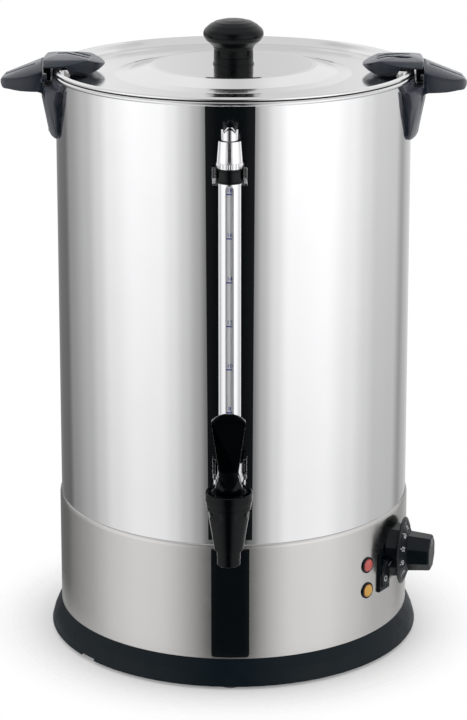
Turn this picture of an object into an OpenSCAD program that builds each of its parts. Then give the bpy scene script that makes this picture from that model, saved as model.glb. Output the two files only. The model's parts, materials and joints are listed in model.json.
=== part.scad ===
// Twenty litre hot water urn with a level gauge, a lever tap and a twist-lock lid.
// Millimetres. +Z is up, -Y is the front, and the origin is the centre of the base on the floor.
// Azimuths are degrees from the front, turning towards +X.

/* [Tank] */
// Outer radius of the polished tank
tank_r = 139.6; // [130:0.1:145]
// Thickness of the tank's sheet
tank_t = 1; // [0.8:0.1:1.2]
// Height of the tank's floor, inside
tank_floor_z = 97; // [95:0.5:99]
// Height of the top of the rolled rim
rim_z = 457.9; // [450:0.1:465]
// Radius of the bead rolled round the rim
bead_r = 1.9; // [1.5:0.1:2.4]

/* [Base] */
// Outer radius of the satin lower housing
housing_r = 141; // [140.6:0.1:142]
// Thickness of the housing's sheet
housing_t = 0.9; // [0.7:0.1:1.2]
// Height of the housing's bottom edge
housing_z0 = 22; // [20:0.5:24]
// Height of the housing's top edge
housing_z1 = 114.5; // [112:0.5:117]
// Outer radius of the plastic base ring at its lip
base_r = 148.8; // [147:0.1:151]
// Radius of the circle that the feet stand on
foot_circle_r = 138.5; // [137:0.5:139]
// Radius of a foot
foot_r = 8.2; // [7:0.1:8.2]

/* [Lid] */
// Outer radius of the lid's rim
lid_r = 141.8; // [141:0.1:142.4]
// Height of the raised middle of the lid
lid_top_z = 461.5; // [460:0.1:464]
// Largest radius of the lid knob
knob_r = 23.7; // [20:0.1:26]
// Height of the knob's crown, the highest point of the urn
knob_top_z = 497; // [490:0.5:500]

/* [Handles and catches] */
// Radius of the handle's tip, from the urn's axis
handle_tip_r = 183.3; // [178:0.1:188]
// Half the width of the grip at its root
grip_half_w = 28; // [24:0.5:30]
// Radius of a catch's outer edge
catch_r = 149; // [148:0.1:149.4]
// Turn that locks the lid
lock_turn = 8; // [6:0.5:9]

/* [Gauge] */
// Distance of the gauge's axis in front of the urn's axis
gauge_y = 154; // [153:0.5:156]
// Outer radius of the chrome guard tube
guard_r = 8.5; // [8:0.1:9]
// Width of the guard's window
window_w = 6; // [5:0.5:7]

/* [Tap] */
// Distance of the tap's axis in front of the urn's axis
tap_y = 196; // [194:0.5:200]
// Height of the tap's horizontal shank
shank_z = 152; // [150:0.5:153]
// Radius of the tap's outlet
outlet_r = 6.5; // [6:0.1:6.8]
// Turn of the lever that opens the valve fully
lever_turn = 40; // [30:1:45]
// Rise of the valve stem at that turn
valve_rise = 3; // [2:0.5:4]

/* [Controls] */
// Azimuth of the point where the thermostat leaves the housing
dial_az = 66.5; // [64:0.5:69]
// Azimuth that the thermostat's shaft points to
dial_aim = 76; // [72:0.5:78]
// Height of the thermostat's shaft
dial_z = 80; // [78:0.5:84]
// Radius of the thermostat's disc
dial_r = 26.5; // [24:0.5:27]
// Azimuth of the rocker switch
switch_az = 57.8; // [56:0.1:58]
// Height of the rocker switch
switch_z = 69.5; // [66:0.5:72]
// Tilt of the rocker from level when it is off
rocker_tilt = 12; // [8:1:14]
// Azimuth of the two lamps
lamp_az = 48.9; // [46:0.1:49]
// Height of the heating lamp
lamp_high_z = 80.6; // [79:0.1:84]
// Height of the keep warm lamp
lamp_low_z = 59.6; // [57:0.1:62]

/* [Hidden] */
$fn = 96;

fit = 0.05;            // running and seated clearance on a radius
gap = 0.3;             // clearance between separate bodies
tank_in_r = tank_r - tank_t;
housing_in_r = housing_r - housing_t;
strip_t = 0.8;

black = [0.13, 0.15, 0.18];
gloss_black = [0.05, 0.055, 0.06];
polished = [0.86, 0.86, 0.87];
satin = [0.72, 0.71, 0.7];
chrome_tint = [0.9, 0.9, 0.92];
rubber = [0.25, 0.25, 0.26];

// ---------- shared geometry ----------

// Points of an arc from angle a0 to a1, in n steps.
function arc(cx, cy, r, a0, a1, n = 8) =
    [for (i = [0:n]) let (a = a0 + (a1 - a0) * i / n) [cx + r * cos(a), cy + r * sin(a)]];

// Turns the front of the urn to an azimuth.
module at_azimuth(az) { rotate([0, 0, az]) children(); }

// Stands what is drawn along +Z outwards at a radius, height and azimuth.
module outwards(az, r, z) { at_azimuth(az) translate([0, -r, z]) rotate([90, 0, 0]) children(); }

// Places what is drawn with +X pointing outwards at the right or the left handle.
module on_side(side) { rotate([0, 0, side == "left" ? 180 : 0]) children(); }

module ring(r_out, r_in, h) {
    difference() {
        cylinder(r = r_out, h = h);
        translate([0, 0, -1]) cylinder(r = r_in, h = h + 2);
    }
}

// Solid of revolution from a list of radius and height pairs.
module turned(points) { rotate_extrude() polygon(points); }

// Frustum with an even number of flat sides, given by the radii of its corners.
module frustum(r1, r2, h, sides) {
    a1 = r1 * cos(180 / sides);
    a2 = r2 * cos(180 / sides);
    intersection_for (i = [0:sides / 2 - 1]) rotate([0, 0, i * 360 / sides]) rotate([90, 0, 0])
        linear_extrude(4 * r1, center = true) polygon([[-a1, 0], [a1, 0], [a2, h], [-a2, h]]);
}

// A slab whose outline lies in the X-Z plane and which spans w across Y.
module side_slab(w) { translate([0, w / 2, 0]) rotate([90, 0, 0]) linear_extrude(w) children(); }

// ---------- base ----------

foot_h = 6;            // from the floor to the ring's flange
flange_t = 2.5;
flange_in_r = 118;
plate_r = 129;
plate_t = 1;
screw_circle_r = 123.5;
screw_az = [45, 135, 225, 315];
foot_az = [0, 90, 180, 270];
notch_az = -50;
notch_w = 17;
notch_h = 2;

module base_ring() {
    lip_z = 2;
    color(black) difference() {
        turned(concat(
            [[housing_r - 0.4, housing_z0]],
            [[145.2, 13.3], [147.1, 8.8], [148, 5.4], [base_r, lip_z + 0.6], [base_r - 0.5, lip_z]],
            [[base_r - 1.6, lip_z], [base_r - 1.9, foot_h], [flange_in_r, foot_h]],
            [[flange_in_r, foot_h + flange_t], [144.4, foot_h + flange_t], [142.6, 13.3]],
            [[138.2, 20], [138.2, 27], [housing_in_r - fit, 27], [housing_in_r - fit, housing_z0]]));
        at_azimuth(notch_az) translate([-notch_w / 2, -base_r - 1, 0])
            cube([notch_w, 4, lip_z + notch_h]);
        for (az = screw_az) at_azimuth(az) translate([0, -screw_circle_r, foot_h - 1])
            cylinder(r = 1.6, h = flange_t + 2);
        for (az = foot_az) at_azimuth(az) translate([0, -foot_circle_r, foot_h - 1])
            cylinder(r = 3, h = flange_t + 2);
    }
}

reset_x = 45;
reset_y = 30;

module bottom_plate() {
    vent_r = 88;
    vent_step = 12;
    color(satin) translate([0, 0, foot_h - plate_t]) difference() {
        cylinder(r = plate_r, h = plate_t);
        for (az = screw_az) at_azimuth(az) translate([0, -screw_circle_r, -1])
            cylinder(r = 1.9, h = plate_t + 2);
        translate([reset_x, reset_y, -1]) cylinder(r = 4.4, h = plate_t + 2);
        for (side = [0, 180], i = [-2:2]) rotate([0, 0, side + i * vent_step])
            translate([vent_r - 12, -1.5, -1]) cube([24, 3, plate_t + 2]);
    }
}

module base_screws() {
    head_h = 1.8;
    color(chrome_tint) for (az = screw_az)
        at_azimuth(az) translate([0, -screw_circle_r, foot_h - plate_t - head_h]) difference() {
            union() {
                cylinder(r = 3.2, h = head_h);
                cylinder(r = 1.55, h = head_h + plate_t + flange_t + 3);
            }
            for (turn = [0, 90]) rotate([0, 0, turn]) translate([-2, -0.4, -1]) cube([4, 0.8, 1.8]);
        }
}

module feet() {
    stub_r = 2.95;
    color(rubber) for (az = foot_az) at_azimuth(az) translate([0, -foot_circle_r, 0]) {
        turned([[0, 0], [foot_r - 0.8, 0], [foot_r, 0.8], [foot_r, foot_h], [stub_r, foot_h],
                [stub_r, foot_h + flange_t], [stub_r + 0.5, foot_h + flange_t + 0.1],
                [stub_r - 0.6, foot_h + flange_t + 2], [0, foot_h + flange_t + 2]]);
    }
}

gland_z = 46;
gland_bore_r = 4;
gland_neck_r = 6.2;

module cord_gland() {
    color(black) outwards(180, housing_in_r, gland_z) difference() {
        turned([[0, -9], [6.8, -9], [7.6, -7], [7.6, -0.3], [gland_neck_r, -0.3],
                [gland_neck_r, housing_t + 0.2], [9, housing_t + 0.2], [9, housing_t + 2.2],
                [7.2, housing_t + 3.6], [0, housing_t + 3.6]]);
        translate([0, 0, -10]) cylinder(r = gland_bore_r, h = 20);
    }
}

// ---------- lower housing ----------

module dial_frame() {
    rotate([0, 0, dial_az]) translate([0, -housing_r, dial_z]) rotate([0, 0, dial_aim - dial_az])
        rotate([90, 0, 0]) children();
}

module lower_housing() {
    lamp_hole_r = 5.3;
    switch_hole = [13.2, 28.4];
    thermostat_hole_r = 5.2;
    color(satin) difference() {
        // Rolled sheet whose top edge turns in to meet the tank.
        turned(concat(
            [[housing_in_r, housing_z0], [housing_r, housing_z0], [housing_r, housing_z1 - 3]],
            [[housing_r - 0.25, housing_z1 - 1.4], [housing_r - 0.7, housing_z1 - 0.3]],
            [[tank_r + fit + 0.3, housing_z1], [tank_r + fit, housing_z1 - 0.4]],
            [[tank_r + fit, housing_z1 - 3], [housing_in_r, housing_z1 - 4]]));
        for (z = [lamp_high_z, lamp_low_z]) outwards(lamp_az, housing_r - 8, z)
            cylinder(r = lamp_hole_r, h = 20);
        outwards(switch_az, housing_r - 8, switch_z)
            translate([-switch_hole[0] / 2, -switch_hole[1] / 2, 0])
                cube([switch_hole[0], switch_hole[1], 20]);
        dial_frame() translate([0, 0, -12]) cylinder(r = thermostat_hole_r, h = 20);
        outwards(180, housing_r - 8, gland_z) cylinder(r = gland_neck_r + 0.1, h = 20);
    }
}

// Angle ring welded inside the housing, which carries the tank.
module tank_ledge() {
    ledge_t = 1.2;
    ledge_z0 = 88;
    ledge_z1 = tank_floor_z - tank_t;
    ledge_in_r = 133;
    outer_r = housing_in_r - fit / 5;
    color(satin) difference() {
        turned([[outer_r - ledge_t, ledge_z0], [outer_r, ledge_z0], [outer_r, ledge_z1],
                [ledge_in_r, ledge_z1], [ledge_in_r, ledge_z1 - ledge_t],
                [outer_r - ledge_t, ledge_z1 - ledge_t]]);
        dial_frame() translate([0, 0, -14]) cylinder(r = 12, h = 20);
    }
}

// ---------- black strips down the front ----------

// A skin wrapped on a cylinder, cut to the outline given as the child, drawn in X and Z.
module wrapped(r, t) {
    intersection() {
        translate([0, 0, 20]) ring(r + t, r, rim_z - 20);
        translate([0, -r + 12, 0]) rotate([90, 0, 0]) linear_extrude(20) children();
    }
}

module front_strip_upper() {
    top_half = 18.5;
    bottom_half = 16.7;
    z0 = housing_z1 + 4;
    z1 = 454;
    color(gloss_black) difference() {
        wrapped(tank_r + 0.02, strip_t)
            polygon([[-bottom_half, z0], [bottom_half, z0], [top_half, z1], [-top_half, z1]]);
        outwards(0, tank_r - 2, shank_z) cylinder(r = shank_hole_r, h = 6);
    }
}

module front_strip_lower() {
    half = 14.6;
    z0 = 23.5;
    z1 = housing_z1 - 3.1;
    corner = 2.5;
    color(gloss_black) wrapped(housing_r + 0.02, strip_t)
        polygon(concat([[half, z1], [-half, z1]],
            arc(-half + corner, z0 + corner, corner, 180, 270, 4),
            arc(half - corner, z0 + corner, corner, 270, 360, 4)));
}

// ---------- tank ----------

handle_screw_z = [412, 436];
handle_screw_y = [-15, 15];
shank_hole_r = 8.4;

// Screws and holes of one handle, along +X.
module handle_screw_places() {
    for (z = handle_screw_z, y = handle_screw_y) translate([0, y, z]) rotate([0, 90, 0]) children();
}

module tank() {
    corner = 6;
    bead_c = tank_r + 0.6;
    outer_z = tank_floor_z - tank_t;
    color(polished) difference() {
        turned(concat(
            [[0, outer_z]],
            arc(tank_r - corner, outer_z + corner, corner, 270, 360),
            [[tank_r, rim_z - 2 * bead_r]],
            arc(bead_c, rim_z - bead_r, bead_r, -90, 90),
            arc(bead_c, rim_z - bead_r, bead_r, 90, 147, 4),
            [[tank_in_r, rim_z - bead_r], [tank_in_r, outer_z + corner]],
            arc(tank_r - corner, outer_z + corner, corner - tank_t, 0, -90),
            [[0, tank_floor_z]]));
        outwards(0, tank_r - 5, shank_z) cylinder(r = shank_hole_r, h = 10);
        for (side = ["left", "right"]) on_side(side)
            handle_screw_places() translate([0, 0, tank_r - 8]) cylinder(r = 2.2, h = 12);
    }
}

// ---------- heaters under the floor ----------

spreader_t = 4;
spreader_z = tank_floor_z - tank_t - spreader_t;
tube_r = 4;
tube_z = spreader_z - 2.6;
main_ring_r = 72;
warm_ring_r = 42;
bar_t = 2;
clamp_z = tube_z - tube_r - bar_t;
stud_r = 3.2;

module heat_spreader() {
    color(polished) difference() {
        translate([0, 0, spreader_z]) cylinder(r = 95, h = spreader_t);
        translate([0, 0, spreader_z - 1]) cylinder(r = stud_r + 0.2, h = spreader_t + 2);
        for (r = [main_ring_r, warm_ring_r]) translate([0, 0, tube_z]) rotate_extrude() translate([r, 0])
            circle(r = tube_r + fit);
    }
}

// Sheathed tube bent to an open ring, with a collar and a tab on each of its cold ends.
module sheathed_ring(r, open) {
    collar_r = 5;
    collar_h = 14;
    color(rubber) {
        rotate([0, 0, 90 + open / 2]) translate([0, 0, tube_z])
            rotate_extrude(angle = 360 - open) translate([r, 0]) circle(r = tube_r);
        for (a = [90 - open / 2, 90 + open / 2]) rotate([0, 0, a]) {
            translate([r, 0, tube_z - collar_h])
                cylinder(r = collar_r, h = collar_h + spreader_z - tube_z - fit);
            translate([r - 3, -0.5, tube_z - collar_h - 8]) cube([6, 1, 9]);
        }
    }
}

module heating_element() { sheathed_ring(main_ring_r, 24); }

module keep_warm_element() { sheathed_ring(warm_ring_r, 16); }

module element_clamp() {
    bar_half = 80;
    bar_w = 18;
    color(satin) difference() {
        for (turn = [0, 60, 120]) rotate([0, 0, turn]) translate([-bar_half, -bar_w / 2, clamp_z])
            cube([2 * bar_half, bar_w, bar_t]);
        translate([0, 0, clamp_z - 1]) cylinder(r = stud_r + 0.2, h = bar_t + 2);
    }
}

module clamp_nut() {
    // The stud is welded to the tank's floor and takes the nut.
    nut_h = 5;
    color(chrome_tint) {
        translate([0, 0, clamp_z - 2 * nut_h])
            cylinder(r = stud_r, h = tank_floor_z - tank_t - clamp_z + 2 * nut_h);
        translate([0, 0, clamp_z - nut_h]) cylinder(r = 6.6, h = nut_h, $fn = 6);
    }
}

// ---------- thermostat ----------

disc_back = 3.5;       // along the shaft from the housing
disc_t = 4;
cone_h = 6.2;
grip_end = 30;
shaft_r = 3;
boss_gap = 0.4;

module thermostat_body() {
    color(satin) dial_frame() difference() {
        union() {
            // The box stands off to one side, clear of the switch.
            translate([-7.5, -17, -31]) cube([32, 32, 18]);
            translate([0, 0, -13.1]) cylinder(r = 4.6, h = 13.1 + disc_back - 1);
            translate([0, 0, -11.5]) cylinder(r = 8, h = 3, $fn = 6);
            for (x = [0, 9, 18]) translate([x - 3, -22, -27]) cube([6, 6, 1]);
        }
        translate([0, 0, -20.2]) cylinder(r = shaft_r + fit, h = 30);
    }
}

module thermostat_boss() {
    base_r2 = 21.5;
    top_r2 = 15.5;
    color(black) difference() {
        dial_frame() rotate([0, 0, 15]) translate([0, 0, -8])
            frustum(base_r2, top_r2, 8 + disc_back - boss_gap, 12);
        cylinder(r = housing_r + 0.02, h = 140, $fn = 360);
        dial_frame() translate([0, 0, -12]) cylinder(r = 4.8, h = 30);
        // Flat beside the switch.
        switch_frame() translate([-bezel_w / 2 - gap, -bezel_h, -20])
            cube([bezel_w + 2 * gap, 2 * bezel_h, 60]);
    }
}

module thermostat_shaft() {
    color(chrome_tint) dial_frame() difference() {
        translate([0, 0, -20]) cylinder(r = shaft_r, h = 20 + grip_end - 6);
        translate([-5, 1.5, disc_back]) cube([10, 5, 30]);
    }
}

module thermostat_knob() {
    root_r = 15.6;
    end_r = 13.9;
    disc_front = disc_back + disc_t;
    grip_z = disc_front + cone_h;
    chamfer = 1.2;
    color(black) dial_frame() difference() {
        union() {
            translate([0, 0, disc_back]) cylinder(r = dial_r, h = disc_t);
            intersection() {
                translate([0, 0, disc_front - 0.5]) cylinder(r = dial_r, h = cone_h + 0.5);
                translate([0, 0, disc_front - 0.5])
                    frustum(dial_r / cos(22.5) + 0.6, root_r, cone_h + 0.5, 8);
            }
            translate([0, 0, grip_z - 0.01])
                frustum(root_r, end_r, grip_end - chamfer - grip_z, 8);
            translate([0, 0, grip_end - chamfer - 0.02]) frustum(end_r, end_r - chamfer, chamfer, 8);
        }
        translate([0, 0, disc_back - 1]) ring(dial_r - 2.5, 7, 3);
        difference() {
            translate([0, 0, disc_back - 1]) cylinder(r = shaft_r + fit, h = grip_end - 5 - disc_back);
            translate([-5, 1.5 + fit, disc_back]) cube([10, 5, 30]);
        }
        translate([0, 0, disc_back - 1]) cylinder(r = 5.1, h = 2);
    }
}

// ---------- switch and lamps ----------

bezel_w = 16;
bezel_h = 32;
bezel_t = 2;
rocker_w = 10;
rocker_h = 22;
rocker_pivot = -2;     // depth of the rocker's pivot behind the housing's skin
rocker_pin_r = 1.5;

module switch_frame() { outwards(switch_az, housing_r, switch_z) children(); }

module switch_body() {
    color(black) switch_frame() difference() {
        union() {
            translate([-bezel_w / 2, -bezel_h / 2, 0.02]) cube([bezel_w, bezel_h, bezel_t - 0.6]);
            translate([-bezel_w / 2 + 0.7, -bezel_h / 2 + 0.7, bezel_t - 0.7])
                cube([bezel_w - 1.4, bezel_h - 1.4, 0.7]);
            translate([-6.4, -14, -20]) cube([12.8, 28, 20.5]);
            for (y = [-9, 0, 9]) translate([-3.2, y - 0.4, -27]) cube([6.4, 0.8, 8]);
        }
        translate([-rocker_w / 2 - gap, -rocker_h / 2 - 1.6, -11])
            cube([rocker_w + 2 * gap, rocker_h + 3.2, 20]);
        // Holes for the rocker's pins.
        translate([-10, 0, rocker_pivot]) rotate([0, 90, 0]) cylinder(r = rocker_pin_r + fit, h = 20);
    }
}

module switch_rocker() {
    half = rocker_h / 2;
    pin_half = 6.3;
    color(gloss_black) switch_frame() translate([0, 0, rocker_pivot]) rotate([rocker_tilt, 0, 0]) {
        translate([-rocker_w / 2, 0, 0]) rotate([90, 0, 90]) linear_extrude(rocker_w)
            polygon([[-half, 6.6], [-half + 0.8, 7.2], [0, 4.6], [half - 0.8, 7.2], [half, 6.6],
                     [half, 1], [4, -5], [-4, -5], [-half, 1]]);
        // Pins that turn in the side walls.
        translate([-pin_half, 0, 0]) rotate([0, 90, 0]) cylinder(r = rocker_pin_r, h = 2 * pin_half);
    }
}

lamp_lens_r = 5.2;

module each_lamp(heights) { for (z = heights) outwards(lamp_az, housing_r, z) children(); }

module lamp_bezels() {
    color(black) each_lamp([lamp_high_z, lamp_low_z])
        rotate_extrude() polygon([[lamp_lens_r + fit, 0.02], [6.5, 0.02], [6.5, 0.7], [6, 1.2],
                                  [lamp_lens_r + fit, 1.2]]);
}

module lamp_lens() {
    turned([[0, -14], [4, -14], [lamp_lens_r, -12.5], [lamp_lens_r, 1], [4.4, 1.7], [2.4, 2.1], [0, 2.2]]);
}

module heating_lamp() { color([0.78, 0.14, 0.12]) each_lamp([lamp_high_z]) lamp_lens(); }

module keep_warm_lamp() { color([0.95, 0.6, 0.12]) each_lamp([lamp_low_z]) lamp_lens(); }

// ---------- boil dry protection and terminals ----------

reset_travel = 2;

module boil_dry_cutout() {
    body_z = 60;
    color(black) translate([reset_x, reset_y, 0]) difference() {
        union() {
            translate([0, 0, body_z]) cylinder(r = 10, h = clamp_z - body_z);
            translate([0, 0, 12]) cylinder(r = 5.4, h = body_z - 11);
            translate([0, 0, foot_h]) cylinder(r = 8, h = 6.5);
            translate([-14, -3, body_z + 6]) cube([28, 6, 1]);
        }
        translate([0, 0, foot_h - 1]) cylinder(r = 3.6, h = body_z - foot_h - 12);
    }
}

module reset_button() {
    color([0.7, 0.1, 0.1]) translate([reset_x, reset_y, 0])
        turned([[0, 3.2], [2.4, 3.2], [3.2, 4], [3.2, 40], [0, 40]]);
}

module terminal_block() {
    ways = 5;
    pitch = 9;
    color([0.85, 0.85, 0.82]) translate([-ways * pitch / 2, 88, foot_h]) difference() {
        union() {
            cube([ways * pitch, 18, 4]);
            for (i = [0:ways - 1]) translate([i * pitch + 1, 0, 3]) cube([pitch - 2, 18, 11]);
        }
        for (i = [0:ways - 1]) translate([(i + 0.5) * pitch, -1, 9]) rotate([-90, 0, 0])
            cylinder(r = 2, h = 20);
    }
}

// ---------- handles ----------

channel_in_r = 142.3;
channel_out_r = 150.3;
channel_z = 448;
leg_axis_x = 60;       // the leg's outer face is turned about a line nearer than the urn's axis
leg_z0 = 407.5;
grip_root = 149.5;
root_z = 465.7;        // crown of the grip where it meets the catch
under_z = 443.2;       // underside of the grip
grip_fall = 22;        // slope of the crown, in degrees
grip_crown_r = 66;

// Half an ellipse from the root line outwards, dx long and half w wide.
function half_ellipse(x0, dx, half_w, n = 24) =
    [for (i = [0:n]) let (a = -90 + 180 * i / n) [x0 + dx * cos(a), half_w * sin(a)]];

module grip_outline() {
    polygon(half_ellipse(grip_root, handle_tip_r - grip_root, grip_half_w));
    translate([channel_in_r, -grip_half_w])
        square([grip_root - channel_in_r + 0.01, 2 * grip_half_w]);
}

module grip_side() {
    polygon(concat(
        [[leg_axis_x, root_z + 1], [leg_axis_x, under_z], [166, under_z + 0.3],
         [175, under_z + 0.8]],
        arc(178.2, 448.3, 5.1, -68, 10, 5),
        [[181, 451.4], [178.4, 454], [174.4, 456.6], [168, 459.6], [152, root_z + 1]]));
}

module grip() {
    intersection() {
        translate([0, 0, 425]) linear_extrude(50) grip_outline();
        side_slab(2 * grip_half_w + 2) grip_side();
        // Crowned top that falls away to the tip.
        translate([grip_root, 0, root_z]) rotate([0, grip_fall, 0])
            translate([-20, 0, -grip_crown_r]) rotate([0, 90, 0]) cylinder(r = grip_crown_r, h = 80);
    }
}

// Rounded inner corner between the leg's face and the grip's underside.
module grip_collar() {
    fillet_r = 4.6;
    face_r = 90.9;
    intersection() {
        translate([leg_axis_x, 0, 0]) turned(concat(
            [[84, under_z - fillet_r - 1], [face_r - 0.1, under_z - fillet_r - 1]],
            arc(face_r + fillet_r, under_z - fillet_r, fillet_r, 180, 95, 5),
            [[face_r + fillet_r - 0.4, under_z + 1.6], [84, under_z + 1.6]]));
        translate([100, -grip_half_w, 430]) cube([70, 2 * grip_half_w, 20]);
    }
}

module leg_outline() {
    corner = 9;
    bottom_half = 33;
    polygon(concat(
        [[58, 454], [51.5, 448], [48, 440], [45.5, 429], [40, 416]],
        arc(bottom_half - 1.5, leg_z0 + corner, corner, -20, -90, 4),
        arc(-bottom_half + 1.5, leg_z0 + corner, corner, -90, -160, 4),
        [[-40, 416], [-45.5, 429], [-48, 440], [-51.5, 448], [-58, 454]]));
}

module leg() {
    intersection() {
        translate([leg_axis_x, 0, 0])
            turned([[0, leg_z0], [84.6, leg_z0], [85.7, leg_z0 + 3], [88.3, 424], [90.8, 437],
                    [91.6, 454], [0, 454]]);
        translate([tank_r - 40, 0, 0]) rotate([90, 0, 90]) linear_extrude(70) leg_outline();
    }
}

// A narrow upright slot from one point to another, drawn in plan.
module groove(y0, y1, x0, x1) {
    hull() for (p = [[x0, y0], [x1, y1]]) translate([p[0], p[1], 440])
        cylinder(r = 0.7, h = 40, $fn = 16);
}

module handle(side) {
    rib_a0 = 4.6;
    rib_a1 = lock_turn + 3.5;
    rib_z = 452.6;
    groove_depth = 0.9;
    color(black) on_side(side) difference() {
        union() {
            difference() {
                union() { leg(); grip(); grip_collar(); }
                // Channel that the lid's hook turns in.
                translate([0, 0, channel_z]) ring(channel_out_r, channel_in_r, 40);
            }
            // Rib that the hook turns under to lock the lid.
            translate([0, 0, rib_z]) rotate([0, 0, rib_a0]) rotate_extrude(angle = rib_a1 - rib_a0)
                polygon([[147, 0], [channel_out_r + 1, -1.6], [channel_out_r + 1, 2], [147, 2]]);
        }
        cylinder(r = tank_r + fit, h = 500);
        translate([0, 0, 454]) cylinder(r = channel_in_r, h = 40);
        // Two grooves along the top of the grip.
        intersection() {
            union() { groove(9, 5, 156, 178); groove(-9, -5, 154, 179); }
            difference() {
                translate([0, 0, 440]) cylinder(r = 190, h = 40);
                translate([0, 0, -groove_depth]) grip();
            }
        }
        handle_screw_places() translate([0, 0, tank_r - 2]) cylinder(r = 2.02, h = 9);
    }
}

module handle_left() { handle("left"); }

module handle_right() { handle("right"); }

module handle_screws() {
    head_h = 1.6;
    head_x = tank_in_r - 1.35 - head_h;
    color(chrome_tint) for (side = ["left", "right"]) on_side(side) handle_screw_places()
        translate([0, 0, head_x]) {
            cylinder(r = 3.8, h = head_h);
            cylinder(r = 2, h = head_h + 7.5);
        }
}

// ---------- lid ----------

lid_t = 1;
seat_z = 458.8;        // underside of the lid's rim, which rests on the seal
pan_z = 454.8;         // top of the lid's flat ring
vent_az = [0, 125, -125];

module lid() {
    color(polished) difference() {
        turned([
            [2.7, lid_top_z], [62, lid_top_z], [65.5, lid_top_z - 0.3], [72, lid_top_z - 2.1],
            [82, lid_top_z - 5], [88, pan_z + 0.9], [93, pan_z + 0.2], [112, pan_z], [130, pan_z],
            [133, pan_z + 0.7], [135.4, 457.2], [137.2, 459.9], [139, 460.9], [140.9, 460.7],
            [lid_r, 459.8], [lid_r, seat_z], [137.5, seat_z], [136.2, 457.4], [134.2, 455.2],
            [132.4, pan_z - 0.3 - lid_t / 2],
            [130, pan_z - lid_t], [93, pan_z - lid_t + 0.1], [87.7, pan_z - 0.1],
            [81.7, lid_top_z - 6], [71.8, lid_top_z - 3.1], [65.3, lid_top_z - 1.3],
            [62, lid_top_z - lid_t], [2.7, lid_top_z - lid_t]]);
        // Steam slots.
        for (az = vent_az) at_azimuth(az) rotate([0, 0, -98]) translate([0, 0, pan_z - 3])
            rotate_extrude(angle = 16) translate([88.4, 0]) square([1.8, 8]);
        for (side = ["left", "right"]) on_side(side) rivet_places()
            translate([0, 0, pan_z - 3]) cylinder(r = 1.9, h = 6);
    }
}

module lid_seal() {
    lip_in = 137.55;
    lip_out = tank_in_r - gap;
    color(rubber) turned([[lip_in, seat_z], [lip_in, 452.6], [lip_out - 0.3, 452.6], [lip_out, 453.2],
                          [lip_out, rim_z + fit], [lid_r - 0.6, rim_z + fit], [lid_r - 0.6, seat_z]]);
}

spacer_z = 467.9;
neck_r = 15.6;
screw_r = 2.5;         // of the knob's screw

module lid_knob() {
    rim_h = knob_top_z - 11;
    color(black) difference() {
        turned(concat(
            [[0, spacer_z], [neck_r, spacer_z], [neck_r - 0.2, 473.5]],
            [[neck_r + 0.9, 476.2], [18.6, 478.2], [21.6, 480.6]],
            arc(knob_r - 6, rim_h - 0.4, 6, -20, 48, 8),
            [[18.6, knob_top_z - 4.2], [14.5, knob_top_z - 1.9], [9, knob_top_z - 0.5], [0, knob_top_z]]));
        translate([0, 0, spacer_z - 1]) cylinder(r = screw_r + fit, h = 15);
    }
}

module knob_spacer() {
    color(black) translate([0, 0, lid_top_z]) difference() {
        union() {
            cylinder(r = neck_r + 0.6, h = 1);
            cylinder(r = neck_r, h = spacer_z - lid_top_z - 0.5);
            cylinder(r = neck_r - 0.5, h = spacer_z - lid_top_z);
        }
        translate([0, 0, -1]) cylinder(r = screw_r + 0.2, h = 10);
    }
}

module knob_screw() {
    head_h = 2.6;
    color(chrome_tint) translate([0, 0, lid_top_z - lid_t - head_h]) difference() {
        union() {
            cylinder(r1 = 4, r2 = 5.2, h = head_h);
            cylinder(r = screw_r, h = head_h + 21);
        }
        for (turn = [0, 90]) rotate([0, 0, turn]) translate([-2.8, -0.5, -1]) cube([5.6, 1, 2.2]);
    }
}

// ---------- lid catches ----------

catch_tip_r = 101;
catch_waist = 147;
catch_top_z = 470;
catch_crown_r = 57;
hook_half = 9;
rivet_x = 120.5;

module rivet_places() { for (y = [-8, 8]) translate([rivet_x, y, 0]) children(); }

// Leaf seen from above: a long half ellipse towards the lid's middle, cut by the outer arc.
module catch_outline() {
    intersection() {
        union() {
            mirror([1, 0]) polygon(half_ellipse(-catch_waist, catch_waist - catch_tip_r, grip_half_w));
            translate([catch_waist - 0.01, -grip_half_w]) square([10, 2 * grip_half_w]);
        }
        circle(r = catch_r);
    }
}

module catch_side() {
    lid_line = pan_z + 0.02;
    polygon([
        [100, 462], [104, 463.8], [111, 466.2], [120, 468.4], [131, 469.8], [139, 469.3],
        [150, 466], [150, 462.4], [129.6, 462.4], [127, lid_line], [116, lid_line], [110, 456.4],
        [105, 458.6], [101.5, 460.8], [100, 461]]);
}

// Cross-section of the leaf: crowned top, thin edge and a keel that draws in to the lid.
module catch_section() {
    edge_z = catch_top_z - 7.3;
    keel_half = 17;
    polygon(concat(
        arc(0, catch_top_z - catch_crown_r, catch_crown_r, 90 - 29.6, 90 + 29.6, 20),
        [[-grip_half_w, edge_z - 1.6], [-grip_half_w + 3, edge_z - 2.4], [-keel_half, pan_z]],
        [[keel_half, pan_z], [grip_half_w - 3, edge_z - 2.4], [grip_half_w, edge_z - 1.6]]));
}

// Centre line of a wavy slot from u = 0 to 1.
function wave(u, a, b) = [a[0] + (b[0] - a[0]) * u, a[1] + (b[1] - a[1]) * u + 1.3 * sin(360 * u)];

module wavy_slot(a, b) {
    half = 1.9;
    steps = 14;
    polygon(concat(
        [for (i = [0:steps]) wave(i / steps, a, b) + [0, half * sin(20 + 140 * i / steps)]],
        [for (i = [steps:-1:0]) wave(i / steps, a, b) - [0, half * sin(20 + 140 * i / steps)]]));
}

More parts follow.
